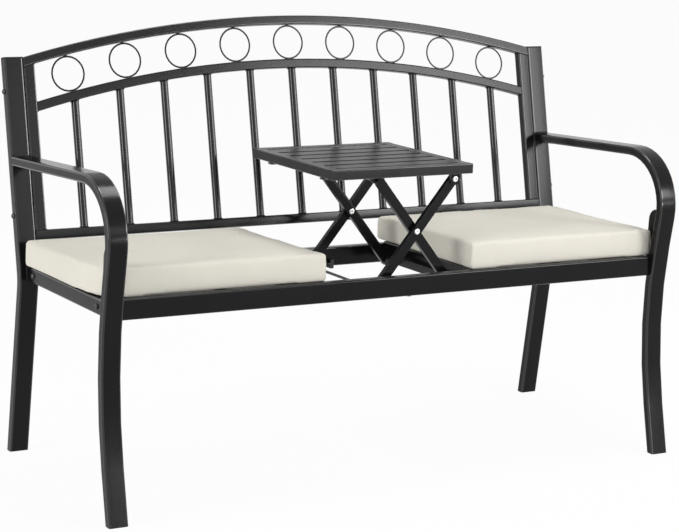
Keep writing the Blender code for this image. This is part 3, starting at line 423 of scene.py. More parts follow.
def rounded_edges(bm, offset, gloss_and_painted_highlight):
    """Round the sharp edges, and mark the narrow faces of corners, bars and rods for gloss and a painted
    highlight.
    """
    mark = bm.faces.layers.float.new("rounded")
    sharp = [edge for edge in bm.edges
             if len(edge.link_faces) == 2 and edge.calc_face_angle() > SHARP_ANGLE]
    if offset and sharp:
        bmesh.ops.bevel(bm, geom=sharp, offset=offset, segments=2, profile=0.5,
                        affect="EDGES", material=-1, clamp_overlap=True)
    for face in bm.faces:
        longest = max(edge.calc_length() for edge in face.edges)
        face[mark] = gloss_and_painted_highlight if face.calc_area() < NARROW * longest else 0.0


def node_slot(node):
    """The finish that a solid carries."""
    return frame["nodes"][node].data.materials[0].name.split(".")[0]


def dressed(node, offset, matt=False, gloss_and_painted_highlight=1.0):
    """A smooth copy of a solid, with its sharp edges rounded, in the solid's place."""
    source = frame["nodes"][node]
    slot = node_slot(node)
    bm = bmesh.new()
    bm.from_mesh(source.data)
    bmesh.ops.remove_doubles(bm, verts=bm.verts, dist=MERGE)
    bmesh.ops.dissolve_limit(bm, angle_limit=FLAT_ANGLE, verts=bm.verts, edges=bm.edges)
    rounded_edges(bm, offset, gloss_and_painted_highlight)
    smooth_faces(bm)
    obj = made_piece(node + "_steel", bm, slot, source["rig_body"], (node,), matt)
    even_normals(obj)
    return obj


def both_sides(*stems):
    """Names of pieces that come as a left and a right one."""
    return [stem + side for stem in stems for side in ("_left", "_right")]


def both_ends(*stems):
    """Names of pieces that come as a front and a rear one."""
    return [stem + end for stem in stems for end in ("_front", "_rear")]


def spun(profile, steps):
    """A profile of radius and height turned about Z into a closed shape."""
    bm = bmesh.new()
    verts = [bm.verts.new((radius, 0, height)) for radius, height in profile]
    edges = [bm.edges.new(pair) for pair in zip(verts, verts[1:])]
    bmesh.ops.spin(bm, geom=verts + edges, cent=(0, 0, 0), axis=(0, 0, 1), angle=2 * math.pi,
                   steps=steps, use_merge=True)
    bmesh.ops.remove_doubles(bm, verts=bm.verts, dist=SPIN_MERGE)
    bmesh.ops.recalc_face_normals(bm, faces=bm.faces)
    return bm


def pointing(axis):
    """A turn that takes Z to an axis."""
    return Vector((0, 0, 1)).rotation_difference(Vector(axis)).to_matrix().to_4x4()


def swept(bm, points, radii, closed=False, sides=8):
    """Add a round rod along points, with a radius at each."""
    count = len(points)
    rings = []
    for index, (point, radius) in enumerate(zip(points, radii)):
        ahead = points[(index + 1) % count] if closed or index + 1 < count else point
        behind = points[index - 1] if closed or index else point
        turn = Matrix.Translation(point) @ pointing((ahead - behind).normalized())
        made = bmesh.ops.create_circle(bm, segments=sides, radius=radius, matrix=turn)
        rings.append(made["verts"])
    pairs = list(zip(rings, rings[1:])) + ([(rings[-1], rings[0])] if closed else [])
    for first, second in pairs:
        loop = {edge for vert in first + second for edge in vert.link_edges
                if edge.other_vert(vert) in first + second}
        edges = [edge for edge in loop if (edge.verts[0] in first) == (edge.verts[1] in first)]
        bmesh.ops.bridge_loops(bm, edges=edges)
    if not closed:
        for ring in (rings[0], rings[-1]):
            bmesh.ops.contextual_create(bm, geom=ring)


# Sizes and colours

class BenchSteelSettings(bpy.types.PropertyGroup):
    """The coated steel and its fasteners."""

    coat_colour: FloatVectorProperty(name="Coat colour", description="Colour of the powder coat",
                                     subtype="COLOR", size=3, min=0, max=1, default=(0.0055, 0.0055, 0.0062))
    coat_roughness: FloatProperty(name="Coat roughness", description="How satin the powder coat is",
                                  subtype="FACTOR", min=0, max=1, default=0.17)
    table_roughness: FloatProperty(name="Table roughness", description="How matt the coat of the table is",
                                   subtype="FACTOR", min=0, max=1, default=0.33)
    corner_gloss: FloatProperty(name="Corner gloss",
                                description="Gloss of the coat on corners, bars and rods",
                                subtype="FACTOR", min=0, max=1, default=0.8)
    edge_round: FloatProperty(name="Edge round", description="Rounding of cut edges",
                              unit="LENGTH", min=0, max=0.003, default=0.0006)
    bead_radius: FloatProperty(name="Weld bead", description="Radius of a weld bead",
                               unit="LENGTH", min=0.0005, max=0.004, default=0.0016)


class BenchCushionSettings(bpy.types.PropertyGroup):
    """The two seat cushions."""

    fabric_colour: FloatVectorProperty(name="Fabric colour", description="Colour of the woven cover",
                                       subtype="COLOR", size=3, min=0, max=1, default=(0.78, 0.75, 0.665))
    thread_pitch: FloatProperty(name="Thread pitch", description="Distance between threads",
                                unit="LENGTH", min=0.0002, max=0.005, default=0.0009)
    voxel: FloatProperty(name="Cover mesh", description="Size of the cover's mesh while it is filled",
                         unit="LENGTH", min=0.003, max=0.01, default=0.005)
    pressure: FloatProperty(name="Filling pressure", description="How hard the filling pushes the cover out",
                            min=0, max=20, default=4.0)
    puff: FloatProperty(name="Puff", description="The furthest that the cover is pushed out",
                        unit="LENGTH", min=0, max=0.03, default=0.005)
    take_in: FloatProperty(name="Take in", description="How much smaller the panels start",
                           unit="LENGTH", min=0, max=0.01, default=0.003)
    hem: FloatProperty(name="Hem", description="How far from a sewn edge the cover is held",
                       unit="LENGTH", min=0, max=0.03, default=0.007)
    droop: FloatProperty(name="Droop", description="How far the left cushion hangs over its side rail",
                         unit="LENGTH", min=0, max=0.006, default=0.005)
    crease: FloatProperty(name="Crease", description="Depth of the slack creases in the covers",
                          unit="LENGTH", min=0, max=0.01, default=0.002)
    seam_radius: FloatProperty(name="Seam", description="Radius of the ridge that a seam makes",
                               unit="LENGTH", min=0.0003, max=0.003, default=0.0008)


class BenchStageSettings(bpy.types.PropertyGroup):
    """The floor, the lamps and the camera."""

    floor_colour: FloatVectorProperty(name="Floor colour", description="Colour of the floor",
                                      subtype="COLOR", size=3, min=0, max=1, default=(0.90, 0.90, 0.90))
    key_power: FloatProperty(name="Key lamp", description="Power of the soft box at the front right",
                             unit="POWER", min=0, default=70.0)
    front_power: FloatProperty(name="Front lamp", description="Power of the soft box at the front",
                               unit="POWER", min=0, default=10.0)
    low_power: FloatProperty(name="Low lamp", description="Power of the low strip box at the front",
                             unit="POWER", min=0, default=23.0)
    top_power: FloatProperty(name="Top lamp", description="Power of the soft box overhead",
                             unit="POWER", min=0, default=32.0)
    side_power: FloatProperty(name="Side lamp", description="Power of the soft box at the left",
                              unit="POWER", min=0, default=135.0)
    right_power: FloatProperty(name="Right lamp", description="Power of the soft box at the right",
                               unit="POWER", min=0, default=34.0)
    fill: FloatProperty(name="Fill", description="Light from all round", min=0, max=2, default=0.36)
    camera_place: FloatVectorProperty(name="Camera place", description="Where the camera stands",
                                      subtype="TRANSLATION", unit="LENGTH", size=3,
                                      default=(-2.2397, -3.7493, 1.3893))
    camera_turn: FloatVectorProperty(name="Camera turn", description="Yaw, pitch and roll of the camera",
                                     subtype="EULER", unit="ROTATION", size=3,
                                     default=tuple(math.radians(a) for a in (30.75, 13.01, 3.23)))
    camera_lens: FloatProperty(name="Camera lens", description="Focal length of the camera",
                               unit="CAMERA", min=10, max=300, default=116.56)


# Operators

class BENCH_OT_stage(bpy.types.Operator):
    """Set out the floor, the lamps, the white surroundings and the camera"""
    bl_idname = "bench.stage"
    bl_label = "Stage"

    def execute(self, context):
        stage = context.scene.bench_stage
        self.floor(context, stage)
        self.lamps(context, stage)
        self.surroundings(context, stage)
        self.camera(context, stage)
        context.scene.view_settings.view_transform = "Standard"
        return {"FINISHED"}

    def floor(self, context, stage):
        bm = bmesh.new()
        bmesh.ops.create_grid(bm, x_segments=4, y_segments=4, size=FLOOR_HALF,
                              matrix=Matrix.Translation((0, 0, -FLOOR_DROP)))
        mesh = bpy.data.meshes.new("floor")
        bm.to_mesh(mesh)
        bm.free()
        floor = bpy.data.objects.new("floor", mesh)
        context.scene.collection.objects.link(floor)
        finish = Finish("pale_floor", tuple(stage.floor_colour), 0.9, Specular_IOR_Level=0.0)
        seen = self.seen_directly(finish)
        glow = finish.node("ShaderNodeEmission", {}, {"Color": (1, 1, 1, 1), "Strength": 1.0})
        paper = Value(finish, finish.shader.outputs[0])
        both = finish.node("ShaderNodeMixShader", {}, {0: seen * FLOOR_GLOW, 1: paper, 2: glow})
        finish.feed(finish.tree.nodes["Material Output"].inputs["Surface"], both)
        mesh.materials.append(finish.material)

    def seen_directly(self, finish):
        """One for rays from the camera, in a reflection or through glass."""
        path = finish.node("ShaderNodeLightPath", {}, {}, "Is Camera Ray")
        outputs = path.socket.node.outputs
        glossy = Value(finish, outputs["Is Glossy Ray"])
        through = Value(finish, outputs["Is Transmission Ray"])
        return finish.node("ShaderNodeClamp", {}, {"Value": path + glossy + through})

    def lamps(self, context, stage):
        places = (
            ("key_lamp", (2.75, -3.5, 1.95), (0.1, 0.1, 0.6), 1.3, 1.0, stage.key_power),
            ("front_lamp", (1.2, -4.4, 2.1), (0.1, 0.1, 0.6), 1.3, 1.0, stage.front_power),
            ("low_lamp", (2.0, -3.7, 0.8), (0.0, -0.2, 0.3), 2.6, 0.2, stage.low_power),
            ("top_lamp", (0.45, 0.15, 2.9), (0.0, 0.0, 0.4), 0.9, 0.9, stage.top_power),
            ("side_lamp", (-4.8, -1.0, 1.7), (0.1, 0.0, 0.5), 1.7, 2.6, stage.side_power),
            ("right_lamp", (4.0, -1.6, 1.3), (0.0, 0.1, 0.55), 2.0, 1.6, stage.right_power),
        )
        for name, place, target, width, height, power in places:
            lamp = bpy.data.lights.new(name, "AREA")
            lamp.shape = "RECTANGLE"
            lamp.size = width
            lamp.size_y = height
            lamp.energy = power
            obj = bpy.data.objects.new(name, lamp)
            context.scene.collection.objects.link(obj)
            obj.location = place
            obj.rotation_euler = (Vector(target) - Vector(place)).to_track_quat("-Z", "Y").to_euler()

    def surroundings(self, context, stage):
        world = bpy.data.worlds.new("white_surroundings")
        world.use_nodes = True
        context.scene.world = world
        tree = world.node_tree
        tree.nodes.clear()
        path = tree.nodes.new("ShaderNodeLightPath")
        shown = tree.nodes.new("ShaderNodeMath")
        shown.operation = "ADD"
        mirrored = tree.nodes.new("ShaderNodeMath")
        mirrored.operation = "ADD"
        mirrored.use_clamp = True
        tree.links.new(path.outputs["Is Camera Ray"], shown.inputs[0])
        tree.links.new(path.outputs["Is Transmission Ray"], shown.inputs[1])
        tree.links.new(shown.outputs[0], mirrored.inputs[0])
        tree.links.new(path.outputs["Is Glossy Ray"], mirrored.inputs[1])
        fill = tree.nodes.new("ShaderNodeBackground")
        fill.inputs["Strength"].default_value = stage.fill
        white = tree.nodes.new("ShaderNodeBackground")
        white.inputs["Color"].default_value = (1, 1, 1, 1)
        mixed = tree.nodes.new("ShaderNodeMixShader")
        output = tree.nodes.new("ShaderNodeOutputWorld")
        tree.links.new(mirrored.outputs[0], mixed.inputs[0])
        tree.links.new(fill.outputs[0], mixed.inputs[1])
        tree.links.new(white.outputs[0], mixed.inputs[2])
        tree.links.new(mixed.outputs[0], output.inputs["Surface"])

    def camera(self, context, stage):
        yaw, pitch, roll = stage.camera_turn
        ahead = Vector((math.sin(yaw) * math.cos(pitch), math.cos(yaw) * math.cos(pitch),
                        -math.sin(pitch)))
        level = Vector((math.cos(yaw), -math.sin(yaw), 0))
        upright = level.cross(ahead)
        right = math.cos(roll) * level + math.sin(roll) * upright
        up = math.cos(roll) * upright - math.sin(roll) * level
        data = bpy.data.cameras.new("camera")
        data.lens = stage.camera_lens
        data.sensor_width = SENSOR_WIDTH
        data.sensor_fit = "HORIZONTAL"
        camera = bpy.data.objects.new("camera", data)
        context.scene.collection.objects.link(camera)
        camera.matrix_world = (Matrix.Translation(stage.camera_place)
                               @ Matrix((right, up, -ahead)).transposed().to_4x4())
        context.scene.camera = camera


class BENCH_OT_side_frames(bpy.types.Operator):
    """Coat the arms with their legs, the rear posts, their caps, the side rails and the gussets"""
    bl_idname = "bench.side_frames"
    bl_label = "Side frames"

    def execute(self, context):
        edge = context.scene.bench_steel.edge_round
        for node in both_sides("arm_leg", "rear_post", "post_cap", "side_rail", "leg_gusset"):
            dressed(node, edge)
        return {"FINISHED"}


class BENCH_OT_back_panel(bpy.types.Operator):
    """Coat the stiles, the arched and straight rails, the bars and the rings"""
    bl_idname = "bench.back_panel"
    bl_label = "Back panel"

    def execute(self, context):
        edge = context.scene.bench_steel.edge_round
        for node in both_sides("back_stile") + ["back_top_rail"]:
            dressed(node, edge)
        dressed("back_ring_rail", 0, gloss_and_painted_highlight=RING_GLOSS_AND_PAINTED_HIGHLIGHT)
        dressed("back_bar_rail", 0, gloss_and_painted_highlight=BAR_GLOSS_AND_PAINTED_HIGHLIGHT)
        return {"FINISHED"}


class BENCH_OT_seat_frame(bpy.types.Operator):
    """Coat the seat's rails, slats, table ledges and runners"""
    bl_idname = "bench.seat_frame"
    bl_label = "Seat frame"

    def execute(self, context):
        edge = context.scene.bench_steel.edge_round
        for node in both_sides("seat_end_rail", "table_ledge") + both_ends("seat_runner"):
            dressed(node, edge)
        for node in ("seat_rear_rail", "seat_inner_rail_left"):
            dressed(node, edge)
        dressed("seat_front_rail", edge, gloss_and_painted_highlight=FRONT_RAIL_GLOSS_AND_PAINTED_HIGHLIGHT)
        for node in both_sides("seat_slats") + ["seat_inner_rail_right"]:
            dressed(node, 0)
        return {"FINISHED"}


class BENCH_OT_folding_table(bpy.types.Operator):
    """Coat the table, its scissor legs, brackets, runners, rods and rollers"""
    bl_idname = "bench.folding_table"
    bl_label = "Folding table"

    def execute(self, context):
        edge = context.scene.bench_steel.edge_round
        for node in both_ends("inner_leg", "outer_leg", "table_bracket", "table_runner", "upper_roller"):
            dressed(node, edge)
        for node in ("table_front_rail", "table_rear_rail", "table_left_rail", "table_right_rail"):
            dressed(node, edge, matt=True)
        dressed("table_slats", 0, matt=True)
        for node in ("upper_cross_rod", "lower_cross_rod"):
            dressed(node, 0)
        return {"FINISHED"}


class BENCH_OT_bolts(bpy.types.Operator):
    """Set a button-head bolt with a hex socket where each solid bolt is"""
    bl_idname = "bench.bolts"
    bl_label = "Bolts"

    def execute(self, context):
        for node in both_sides("back_bolt_top", "back_bolt_foot", "seat_bolt_front", "seat_bolt_rear"):
            self.bolt(node)
        return {"FINISHED"}

    def bolt(self, node):
        low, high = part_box(node)
        side = -1 if low.x < 0 else 1
        tip = low.x if side < 0 else high.x
        radius = (high.y - low.y) / 2
        length = high.x - low.x - BOLT_HEAD
        dome = [(radius * out, BOLT_HEAD * up) for out, up in BOLT_DOME]
        shank = [(BOLT_SHANK, 0), (BOLT_SHANK, -length + BOLT_CHAMFER), (BOLT_FLAT, -length), (0, -length)]
        bm = spun([(BOLT_FLAT, BOLT_HEAD)] + dome + shank, BOLT_STEPS)
        self.socket(bm)
        # mark the top of the head, which carries the painted highlight
        mark = bm.faces.layers.float.new("rounded")
        for face in bm.faces:
            middle = face.calc_center_median()
            face[mark] = 1.0 if middle.z > BOLT_HEAD * 0.9 else 0.0
        smooth_faces(bm)
        place = Matrix.Translation((tip - side * BOLT_HEAD, (low.y + high.y) / 2, (low.z + high.z) / 2))
        bmesh.ops.transform(bm, matrix=place @ pointing((side, 0, 0)), verts=bm.verts)
        made_piece(node + "_button", bm, "black_zinc", "frame", (node,))

    def socket(self, bm):
        """Sink a hex socket into the flat on top of the dome."""
        rim = [edge for edge in bm.edges if edge.is_boundary]
        flat = bmesh.ops.contextual_create(bm, geom=rim)["faces"]
        bmesh.ops.inset_region(bm, faces=flat, thickness=SOCKET_RIM)
        sunk = bmesh.ops.extrude_discrete_faces(bm, faces=flat)["faces"]
        for face in sunk:
            bmesh.ops.translate(bm, vec=(0, 0, -BOLT_HEAD * SOCKET_DEPTH), verts=face.verts)
            for vert in face.verts:
                spoke = math.atan2(vert.co.y, vert.co.x)
                reach = math.cos(math.pi / 6) / math.cos((spoke % (math.pi / 3)) - math.pi / 6)
                vert.co.x *= reach
                vert.co.y *= reach


class BENCH_OT_rivets(bpy.types.Operator):
    """Set a plated rivet with a dimpled head where each solid rivet is"""
    bl_idname = "bench.rivets"
    bl_label = "Rivets"

    def execute(self, context):
        for node in both_ends("cross_rivet"):
            self.rivet(node, True, True)
        self.rivet("pivot_rivet_front", False, True)
        self.rivet("pivot_rivet_rear", True, False)
        self.rivet("table_rivet_front", True, False)
        self.rivet("table_rivet_rear", False, True)
        return {"FINISHED"}

    def head(self, face, way):
        """The profile of a head: a drilled hole, a rolled lip and a flange, out from a face."""
        return [(radius, face + way * height) for radius, height in RIVET_PROFILE]

    def rivet(self, node, front_head, rear_head):
        source = frame["nodes"][node]
        places = [SEAT_PLANE.inverted() @ vert.co for vert in source.data.vertices]
        low = Vector([min(place[axis] for place in places) for axis in range(3)])
        high = Vector([max(place[axis] for place in places) for axis in range(3)])
        front = low.y + (RIVET_HEAD if front_head else 0)
        rear = high.y - (RIVET_HEAD if rear_head else 0)
        half = (rear - front) / 2
        plain = [(0, half), (RIVET_SHANK, half)]
        profile = self.head(half, 1) if front_head else plain
        tail = self.head(-half, -1) if rear_head else [(radius, -height) for radius, height in plain]
        bm = spun(profile + tail[::-1], RIVET_STEPS)
        smooth_faces(bm)
        middle = Vector(((low.x + high.x) / 2, (front + rear) / 2, (low.z + high.z) / 2))
        turn = SEAT_PLANE @ Matrix.Translation(middle) @ pointing((0, -1, 0))
        bmesh.ops.transform(bm, matrix=turn, verts=bm.verts)
        made_piece(node + "_head", bm, node_slot(node), source["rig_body"], (node,))


class BENCH_OT_welds(bpy.types.Operator):
    """Lay the weld beads round the bars, at the rings and at the frame joints"""
    bl_idname = "bench.welds"
    bl_label = "Weld beads"

    def execute(self, context):
        radius = context.scene.bench_steel.bead_radius
        self.finished("back_weld_beads", PANEL_PLANE, self.back_panel(radius))
        self.finished("arm_weld_beads", PANEL_PLANE, self.arms(radius))
        self.finished("side_weld_beads", SEAT_PLANE, self.side_rails(radius))
        return {"FINISHED"}

    def finished(self, name, plane, bm):
        bmesh.ops.transform(bm, matrix=plane, verts=bm.verts)
        bmesh.ops.recalc_face_normals(bm, faces=bm.faces)
        smooth_faces(bm, BEAD_SHARP_ANGLE)
        made_piece(name, bm, "black_powder_coat", "frame")

    def back_panel(self, radius):
        """Collars at the bars, tacks at the rings and runs at the ends of the rails."""
        bm = bmesh.new()
        for index in range(BAR_COUNT):
            across = BAR_FIRST + (BAR_LAST - BAR_FIRST) * index / (BAR_COUNT - 1)
            self.collar(bm, across, BOTTOM_RAIL_TOP, 0, radius)
            self.collar(bm, across, self.arch(LOWER_ARCH_UNDER, across), -across / LOWER_ARCH_UNDER, radius)
        for index in range(RING_COUNT):
            across = RING_FIRST + (RING_LAST - RING_FIRST) * index / (RING_COUNT - 1)
            lean = across / (LOWER_ARCH_TOP + RING_RADIUS)
            for reach in (LOWER_ARCH_TOP, TOP_ARCH_UNDER):
                self.tack(bm, reach * math.sin(lean), ARCH_CENTRE + reach * math.cos(lean), radius)
        ends = [(STILE_INNER, BOTTOM_RAIL_TOP), (FRAME_INNER, self.arch(TOP_ARCH_TOP, FRAME_INNER))]
        ends += [(STILE_INNER, self.arch(reach, STILE_INNER))
                 for reach in (TOP_ARCH_UNDER, LOWER_ARCH_TOP, LOWER_ARCH_UNDER)]
        for side in (-1, 1):
            for across, height in ends:
                self.run(bm, [(side * across, back, height) for back in (BEAD_END, PANEL_DEPTH - BEAD_END)],
                         radius * THIN_BEAD)
            for back in (BEAD_SUNK, PANEL_DEPTH - BEAD_SUNK):
                self.run(bm, [(side * across, back, self.arch(TOP_ARCH_UNDER, across))
                              for across in (STILE_INNER, FRAME_INNER)], radius * FLUSH_BEAD)
        return bm

    def arms(self, radius):
        """A run over and a run under each arm, where it meets the post."""
        bm = bmesh.new()
        for side in (-1, 1):
            inner, outer = side * (FRAME_INNER + BEAD_INSET), side * (FRAME_OUTER - BEAD_INSET)
            for height in (ARM_END_TOP, ARM_END_FOOT):
                self.run(bm, ((inner, 0, height), (outer, 0, height)), radius * HEAVY_BEAD)
        return bm

    def side_rails(self, radius):
        """Runs at both ends of the side rails and along the foot of the gussets."""
        bm = bmesh.new()
        for side in (-1, 1):
            outer = side * SIDE_RAIL_OUTER
            inner = side * (FRAME_INNER + BEAD_INSET)
            for at_top, at_foot in (RAIL_AT_LEG, RAIL_AT_POST):
                self.run(bm, ((outer, at_foot, SIDE_RAIL_FOOT + BEAD_END), (outer, at_top, SIDE_RAIL_TOP),
                              (inner, at_top, SIDE_RAIL_TOP)), radius)
            plate = side * GUSSET_FACE
            self.run(bm, [(plate, RAIL_AT_LEG[0] + back, SIDE_RAIL_TOP)
                          for back in (GUSSET_BEAD_START, GUSSET_DEPTH)], radius * THIN_BEAD)
        return bm

    def arch(self, reach, across):
        """The height of an arch at a distance from the middle."""
        return ARCH_CENTRE + math.sqrt(reach ** 2 - across ** 2)

    def run(self, bm, corners, radius):
        """A rippled bead along straight stretches."""
        points = []
        corners = [Vector(corner) for corner in corners]
        for first, second in zip(corners, corners[1:]):
            steps = max(3, round((second - first).length / (radius * RIPPLE_PITCH)))
            points += [first.lerp(second, step / steps) for step in range(steps)]
        points.append(corners[-1])
        radii = [radius * (1.0 + 0.2 * (step % 2) + 0.16 * math.sin(1.7 * step + 50 * points[0].x))
                 for step in range(len(points))]
        radii[0] = radii[-1] = radius * BEAD_TIP
        swept(bm, points, radii, sides=8)

    def collar(self, bm, across, height, lean, radius):
        """A rippled bead round the end of a bar."""
        points = []
        radii = []
        for step in range(COLLAR_STEPS):
            angle = 2 * math.pi * step / COLLAR_STEPS
            x = BAR_RADIUS * math.cos(angle)
            back = PANEL_MIDDLE + BAR_RADIUS * math.sin(angle)
            points.append(Vector((across + x, back, height + x * lean)))
            radii.append(radius * (1.0 + 0.22 * (step % 2) + 0.18 * math.sin(3 * angle + 40 * across)))
        swept(bm, points, radii, closed=True, sides=6)

    def tack(self, bm, across, height, radius):
        """A short tack where a ring meets a rail."""
        made = bmesh.ops.create_uvsphere(bm, u_segments=12, v_segments=8, radius=radius)
        bmesh.ops.scale(bm, vec=TACK_SHAPE, verts=made["verts"])
        bmesh.ops.translate(bm, vec=(across, PANEL_MIDDLE, height), verts=made["verts"])


class BENCH_OT_cushions(bpy.types.Operator):
    """Fill the two box cushions, sew their corners and lay them on the seat"""
    bl_idname = "bench.cushions"
    bl_label = "Cushions"

    def execute(self, context):
        for node in ("cushion_left", "cushion_right"):
            self.cushion(context, context.scene.bench_cushions, node)
        return {"FINISHED"}

    def cushion(self, context, settings, node):
        bm = bmesh.new()
        bm.from_mesh(frame["nodes"][node].data)
        bmesh.ops.remove_doubles(bm, verts=bm.verts, dist=MERGE)
        bmesh.ops.transform(bm, matrix=SEAT_PLANE.inverted(), verts=bm.verts)
        low = Vector([min(vert.co[axis] for vert in bm.verts) for axis in range(3)])
        high = Vector([max(vert.co[axis] for vert in bm.verts) for axis in range(3)])
        sewn = self.sewn_edges(bm)
        bm.normal_update()
        for vert in bm.verts:
            slack = min(1.0, sewn.find(vert.co)[2] / (4 * settings.hem))
            vert.co -= vert.normal * settings.take_in * slack
        mesh = bpy.data.meshes.new("cover")
        bm.to_mesh(mesh)
        bm.free()
        cover = bpy.data.objects.new("cover", mesh)
        context.scene.collection.objects.link(cover)
        self.remesh(context, cover, settings.voxel)
        held = [sewn.find(vert.co)[2] < settings.hem for vert in cover.data.vertices]
        self.fill(context, cover, settings, held)
        self.settle(cover, settings, held, low.z, CREASES[node])
        bm = bmesh.new()
        bm.from_mesh(cover.data)
        bpy.data.objects.remove(cover, do_unlink=True)
        bmesh.ops.transform(bm, matrix=SEAT_PLANE, verts=bm.verts)
        for face in bm.faces:
            face.smooth = True
        self.map_weave(bm)
        obj = made_piece(node + "_cover", bm, "cream_fabric", node, (node,))
        fine = obj.modifiers.new("fine", "SUBSURF")
        fine.levels = 1
        fine.render_levels = 1
        self.seams(obj, settings, node, low, high)

    def sewn_edges(self, bm):
        """Points along the turned edges of a cushion, to look up the nearest."""
        points = [edge.verts[0].co.lerp(edge.verts[1].co, share) for edge in bm.edges
                  if edge.calc_face_angle() > SHARP_ANGLE for share in (0.0, 0.2, 0.4, 0.6, 0.8)]
        tree = KDTree(len(points))
        for index, point in enumerate(points):
            tree.insert(point, index)
        tree.balance()
        return tree

    def baked(self, context, obj):
        """Put what an object's modifiers make into its mesh."""
        context.view_layer.update()
        seen = obj.evaluated_get(context.evaluated_depsgraph_get())
        mesh = bpy.data.meshes.new_from_object(seen)
        obj.modifiers.clear()
        obj.data = mesh

    def remesh(self, context, cover, voxel):
        modifier = cover.modifiers.new("even_mesh", "REMESH")
        modifier.mode = "VOXEL"
        modifier.voxel_size = voxel
        self.baked(context, cover)

    def fill(self, context, cover, settings, held):
        """Push the cover out by pressure, with its sewn edges held."""
        pinned = cover.vertex_groups.new(name="sewn")
        pinned.add([index for index, fixed in enumerate(held) if fixed], 1.0, "REPLACE")
        rest = [vert.co.copy() for vert in cover.data.vertices]
        cloth = cover.modifiers.new("fill", "CLOTH")
        cloth.settings.quality = 6
        cloth.settings.use_pressure = True
        cloth.settings.uniform_pressure_force = settings.pressure
        cloth.settings.effector_weights.gravity = 0
        cloth.settings.vertex_group_mass = "sewn"
        cloth.settings.pin_stiffness = 1.0
        cloth.point_cache.frame_start = 1
        cloth.point_cache.frame_end = FILL_FRAMES
        for step in range(1, FILL_FRAMES + 1):
            context.scene.frame_set(step)
        self.baked(context, cover)
        context.scene.frame_set(1)
        for vert, before in zip(cover.data.vertices, rest):
            push = vert.co - before
            if push.length > settings.puff:
                vert.co = before + push.normalized() * settings.puff

    def settle(self, cover, settings, held, foot, creases):
        """Soften the panels and the top edges, crease the cover and seat it on the rails."""
        bm = bmesh.new()
        bm.from_mesh(cover.data)
        bm.verts.ensure_lookup_table()
        panels = [vert for vert in bm.verts if not held[vert.index]]
        upper = [vert for vert in bm.verts if vert.co.z > foot + TOP_EDGE]
        for verts, rounds in ((panels, 2), (upper, 1)):
            for _ in range(rounds):
                bmesh.ops.smooth_vert(bm, verts=verts, factor=0.5, use_axis_x=True, use_axis_y=True,
                                      use_axis_z=True)
        bm.normal_update()
        for vert in bm.verts:
            swell = sum(noise.noise(vert.co * scale) * height for scale, height in SWELLS)
            swell -= settings.crease * max(self.slack(vert.co, crease) for crease in creases)
            vert.co += vert.normal * swell
            over_rail = min(1.0, max(0.0, (SIDE_RAIL_INNER - vert.co.x) / RAIL_FADE))
            behind = (vert.co.y - GUSSET_END - GUSSET_CLEARANCE) / GUSSET_FADE
            over_rail *= min(1.0, max(0.0, behind))
            if vert.co.z < foot + SEAT_CONTACT:
                vert.co.z = foot + SEAT_CLEARANCE
            vert.co.z -= settings.droop * over_rail * max(0.0, 1.0 - (vert.co.z - foot) / DROOP_HEIGHT)
        bm.to_mesh(cover.data)
        bm.free()

    def slack(self, place, crease):
        """How deep a place lies in a crease, from 0 to 1."""
        start, end = (Vector(point) for point in crease)
        along = end - start
        share = (place.xy - start).dot(along) / along.length_squared
        away = abs((place.xy - start).cross(along)) / along.length
        return max(0.0, 1.0 - (2 * share - 1) ** 2) * math.exp(-(away / CREASE_WIDTH) ** 2)

    def map_weave(self, bm):
        """Lay the weave on each panel of the cover, in metres."""
        layer = bm.loops.layers.uv.new("weave")
        for face in bm.faces:
            size = [abs(value) for value in face.normal]
            lead = size.index(max(size))
            first, second = ((1, 2), (0, 2), (0, 1))[lead]
            for loop in face.loops:
                loop[layer].uv = (loop.vert.co[first], loop.vert.co[second])

    def seams(self, cover, settings, node, low, high):
        """Ridges up the sewn corners, laid on the cover."""
        turned = SEAT_PLANE.inverted()
        tree = BVHTree.FromPolygons([turned @ vert.co for vert in cover.data.vertices],
                                    [tuple(face.vertices) for face in cover.data.polygons])
        bm = bmesh.new()
        for side_x, corner_x in ((-1, low.x), (1, high.x)):
            for side_y, corner_y in ((-1, low.y), (1, high.y)):
                inset = CORNER_INSET if (side_x, side_y) == (-1, -1) and node == "cushion_left" else 0.0
                corner = Vector((corner_x + inset, corner_y, 0))
                out = Vector((side_x, side_y, 0))
                heights = [low.z + SEAM_STEP + SEAM_STEP * step for step in range(SEAM_POINTS)]
                self.ridge(bm, tree, [(corner + out * SEAM_REACH + Vector((0, 0, height)), -out)
                                      for height in heights], settings.seam_radius)
        bmesh.ops.recalc_face_normals(bm, faces=bm.faces)
        for face in bm.faces:
            face.smooth = True
        self.map_weave(bm)
        bmesh.ops.transform(bm, matrix=SEAT_PLANE, verts=bm.verts)
        made_piece(node + "_seams", bm, "cream_fabric", node)

    def ridge(self, bm, tree, rays, radius):
        """A fine ridge through the places where rays meet the cover."""
        points = []
        for origin, direction in rays:
            place, normal, _, _ = tree.ray_cast(origin, direction)
            if place is not None:
                points.append(place - normal * radius * SEAM_SUNK)
        swept(bm, points, [radius] * len(points), sides=6)


class BENCH_PT_panel(bpy.types.Panel):
    """The bench's pieces and their sizes"""
    bl_idname = "BENCH_PT_panel"
    bl_label = "Garden bench"
    bl_space_type = "VIEW_3D"
    bl_region_type = "UI"
    bl_category = "Bench"

    def draw(self, context):
        for operator in OPERATORS:
            self.layout.operator(operator.bl_idname)
        for group in (context.scene.bench_steel, context.scene.bench_cushions, context.scene.bench_stage):
            box = self.layout.box()
            for key in group.__annotations__:
                box.prop(group, key)


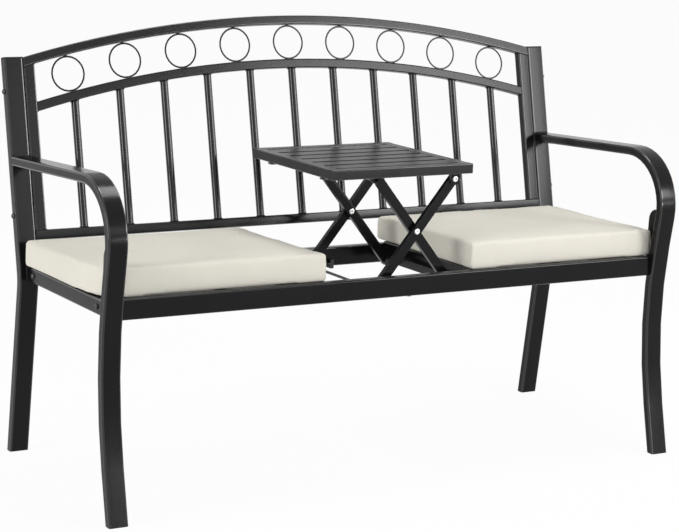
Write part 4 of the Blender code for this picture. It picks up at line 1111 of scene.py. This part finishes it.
OPERATORS = (BENCH_OT_stage, BENCH_OT_side_frames, BENCH_OT_back_panel, BENCH_OT_seat_frame,
             BENCH_OT_folding_table, BENCH_OT_bolts, BENCH_OT_rivets, BENCH_OT_welds, BENCH_OT_cushions)
GROUPS = (("bench_steel", BenchSteelSettings), ("bench_cushions", BenchCushionSettings),
          ("bench_stage", BenchStageSettings))


def register():
    for name, group in GROUPS:
        bpy.utils.register_class(group)
        setattr(bpy.types.Scene, name, PointerProperty(type=group))
    for operator in OPERATORS:
        bpy.utils.register_class(operator)
    bpy.utils.register_class(BENCH_PT_panel)


def unregister():
    bpy.utils.unregister_class(BENCH_PT_panel)
    for operator in reversed(OPERATORS):
        bpy.utils.unregister_class(operator)
    for name, group in reversed(GROUPS):
        delattr(bpy.types.Scene, name)
        bpy.utils.unregister_class(group)


def main():
    register()
    bpy.ops.bench.stage()
    bpy.ops.bench.side_frames()
    bpy.ops.bench.back_panel()
    bpy.ops.bench.seat_frame()
    bpy.ops.bench.folding_table()
    bpy.ops.bench.bolts()
    bpy.ops.bench.rivets()
    bpy.ops.bench.welds()
    bpy.ops.bench.cushions()


if __name__ == "__main__":
    main()
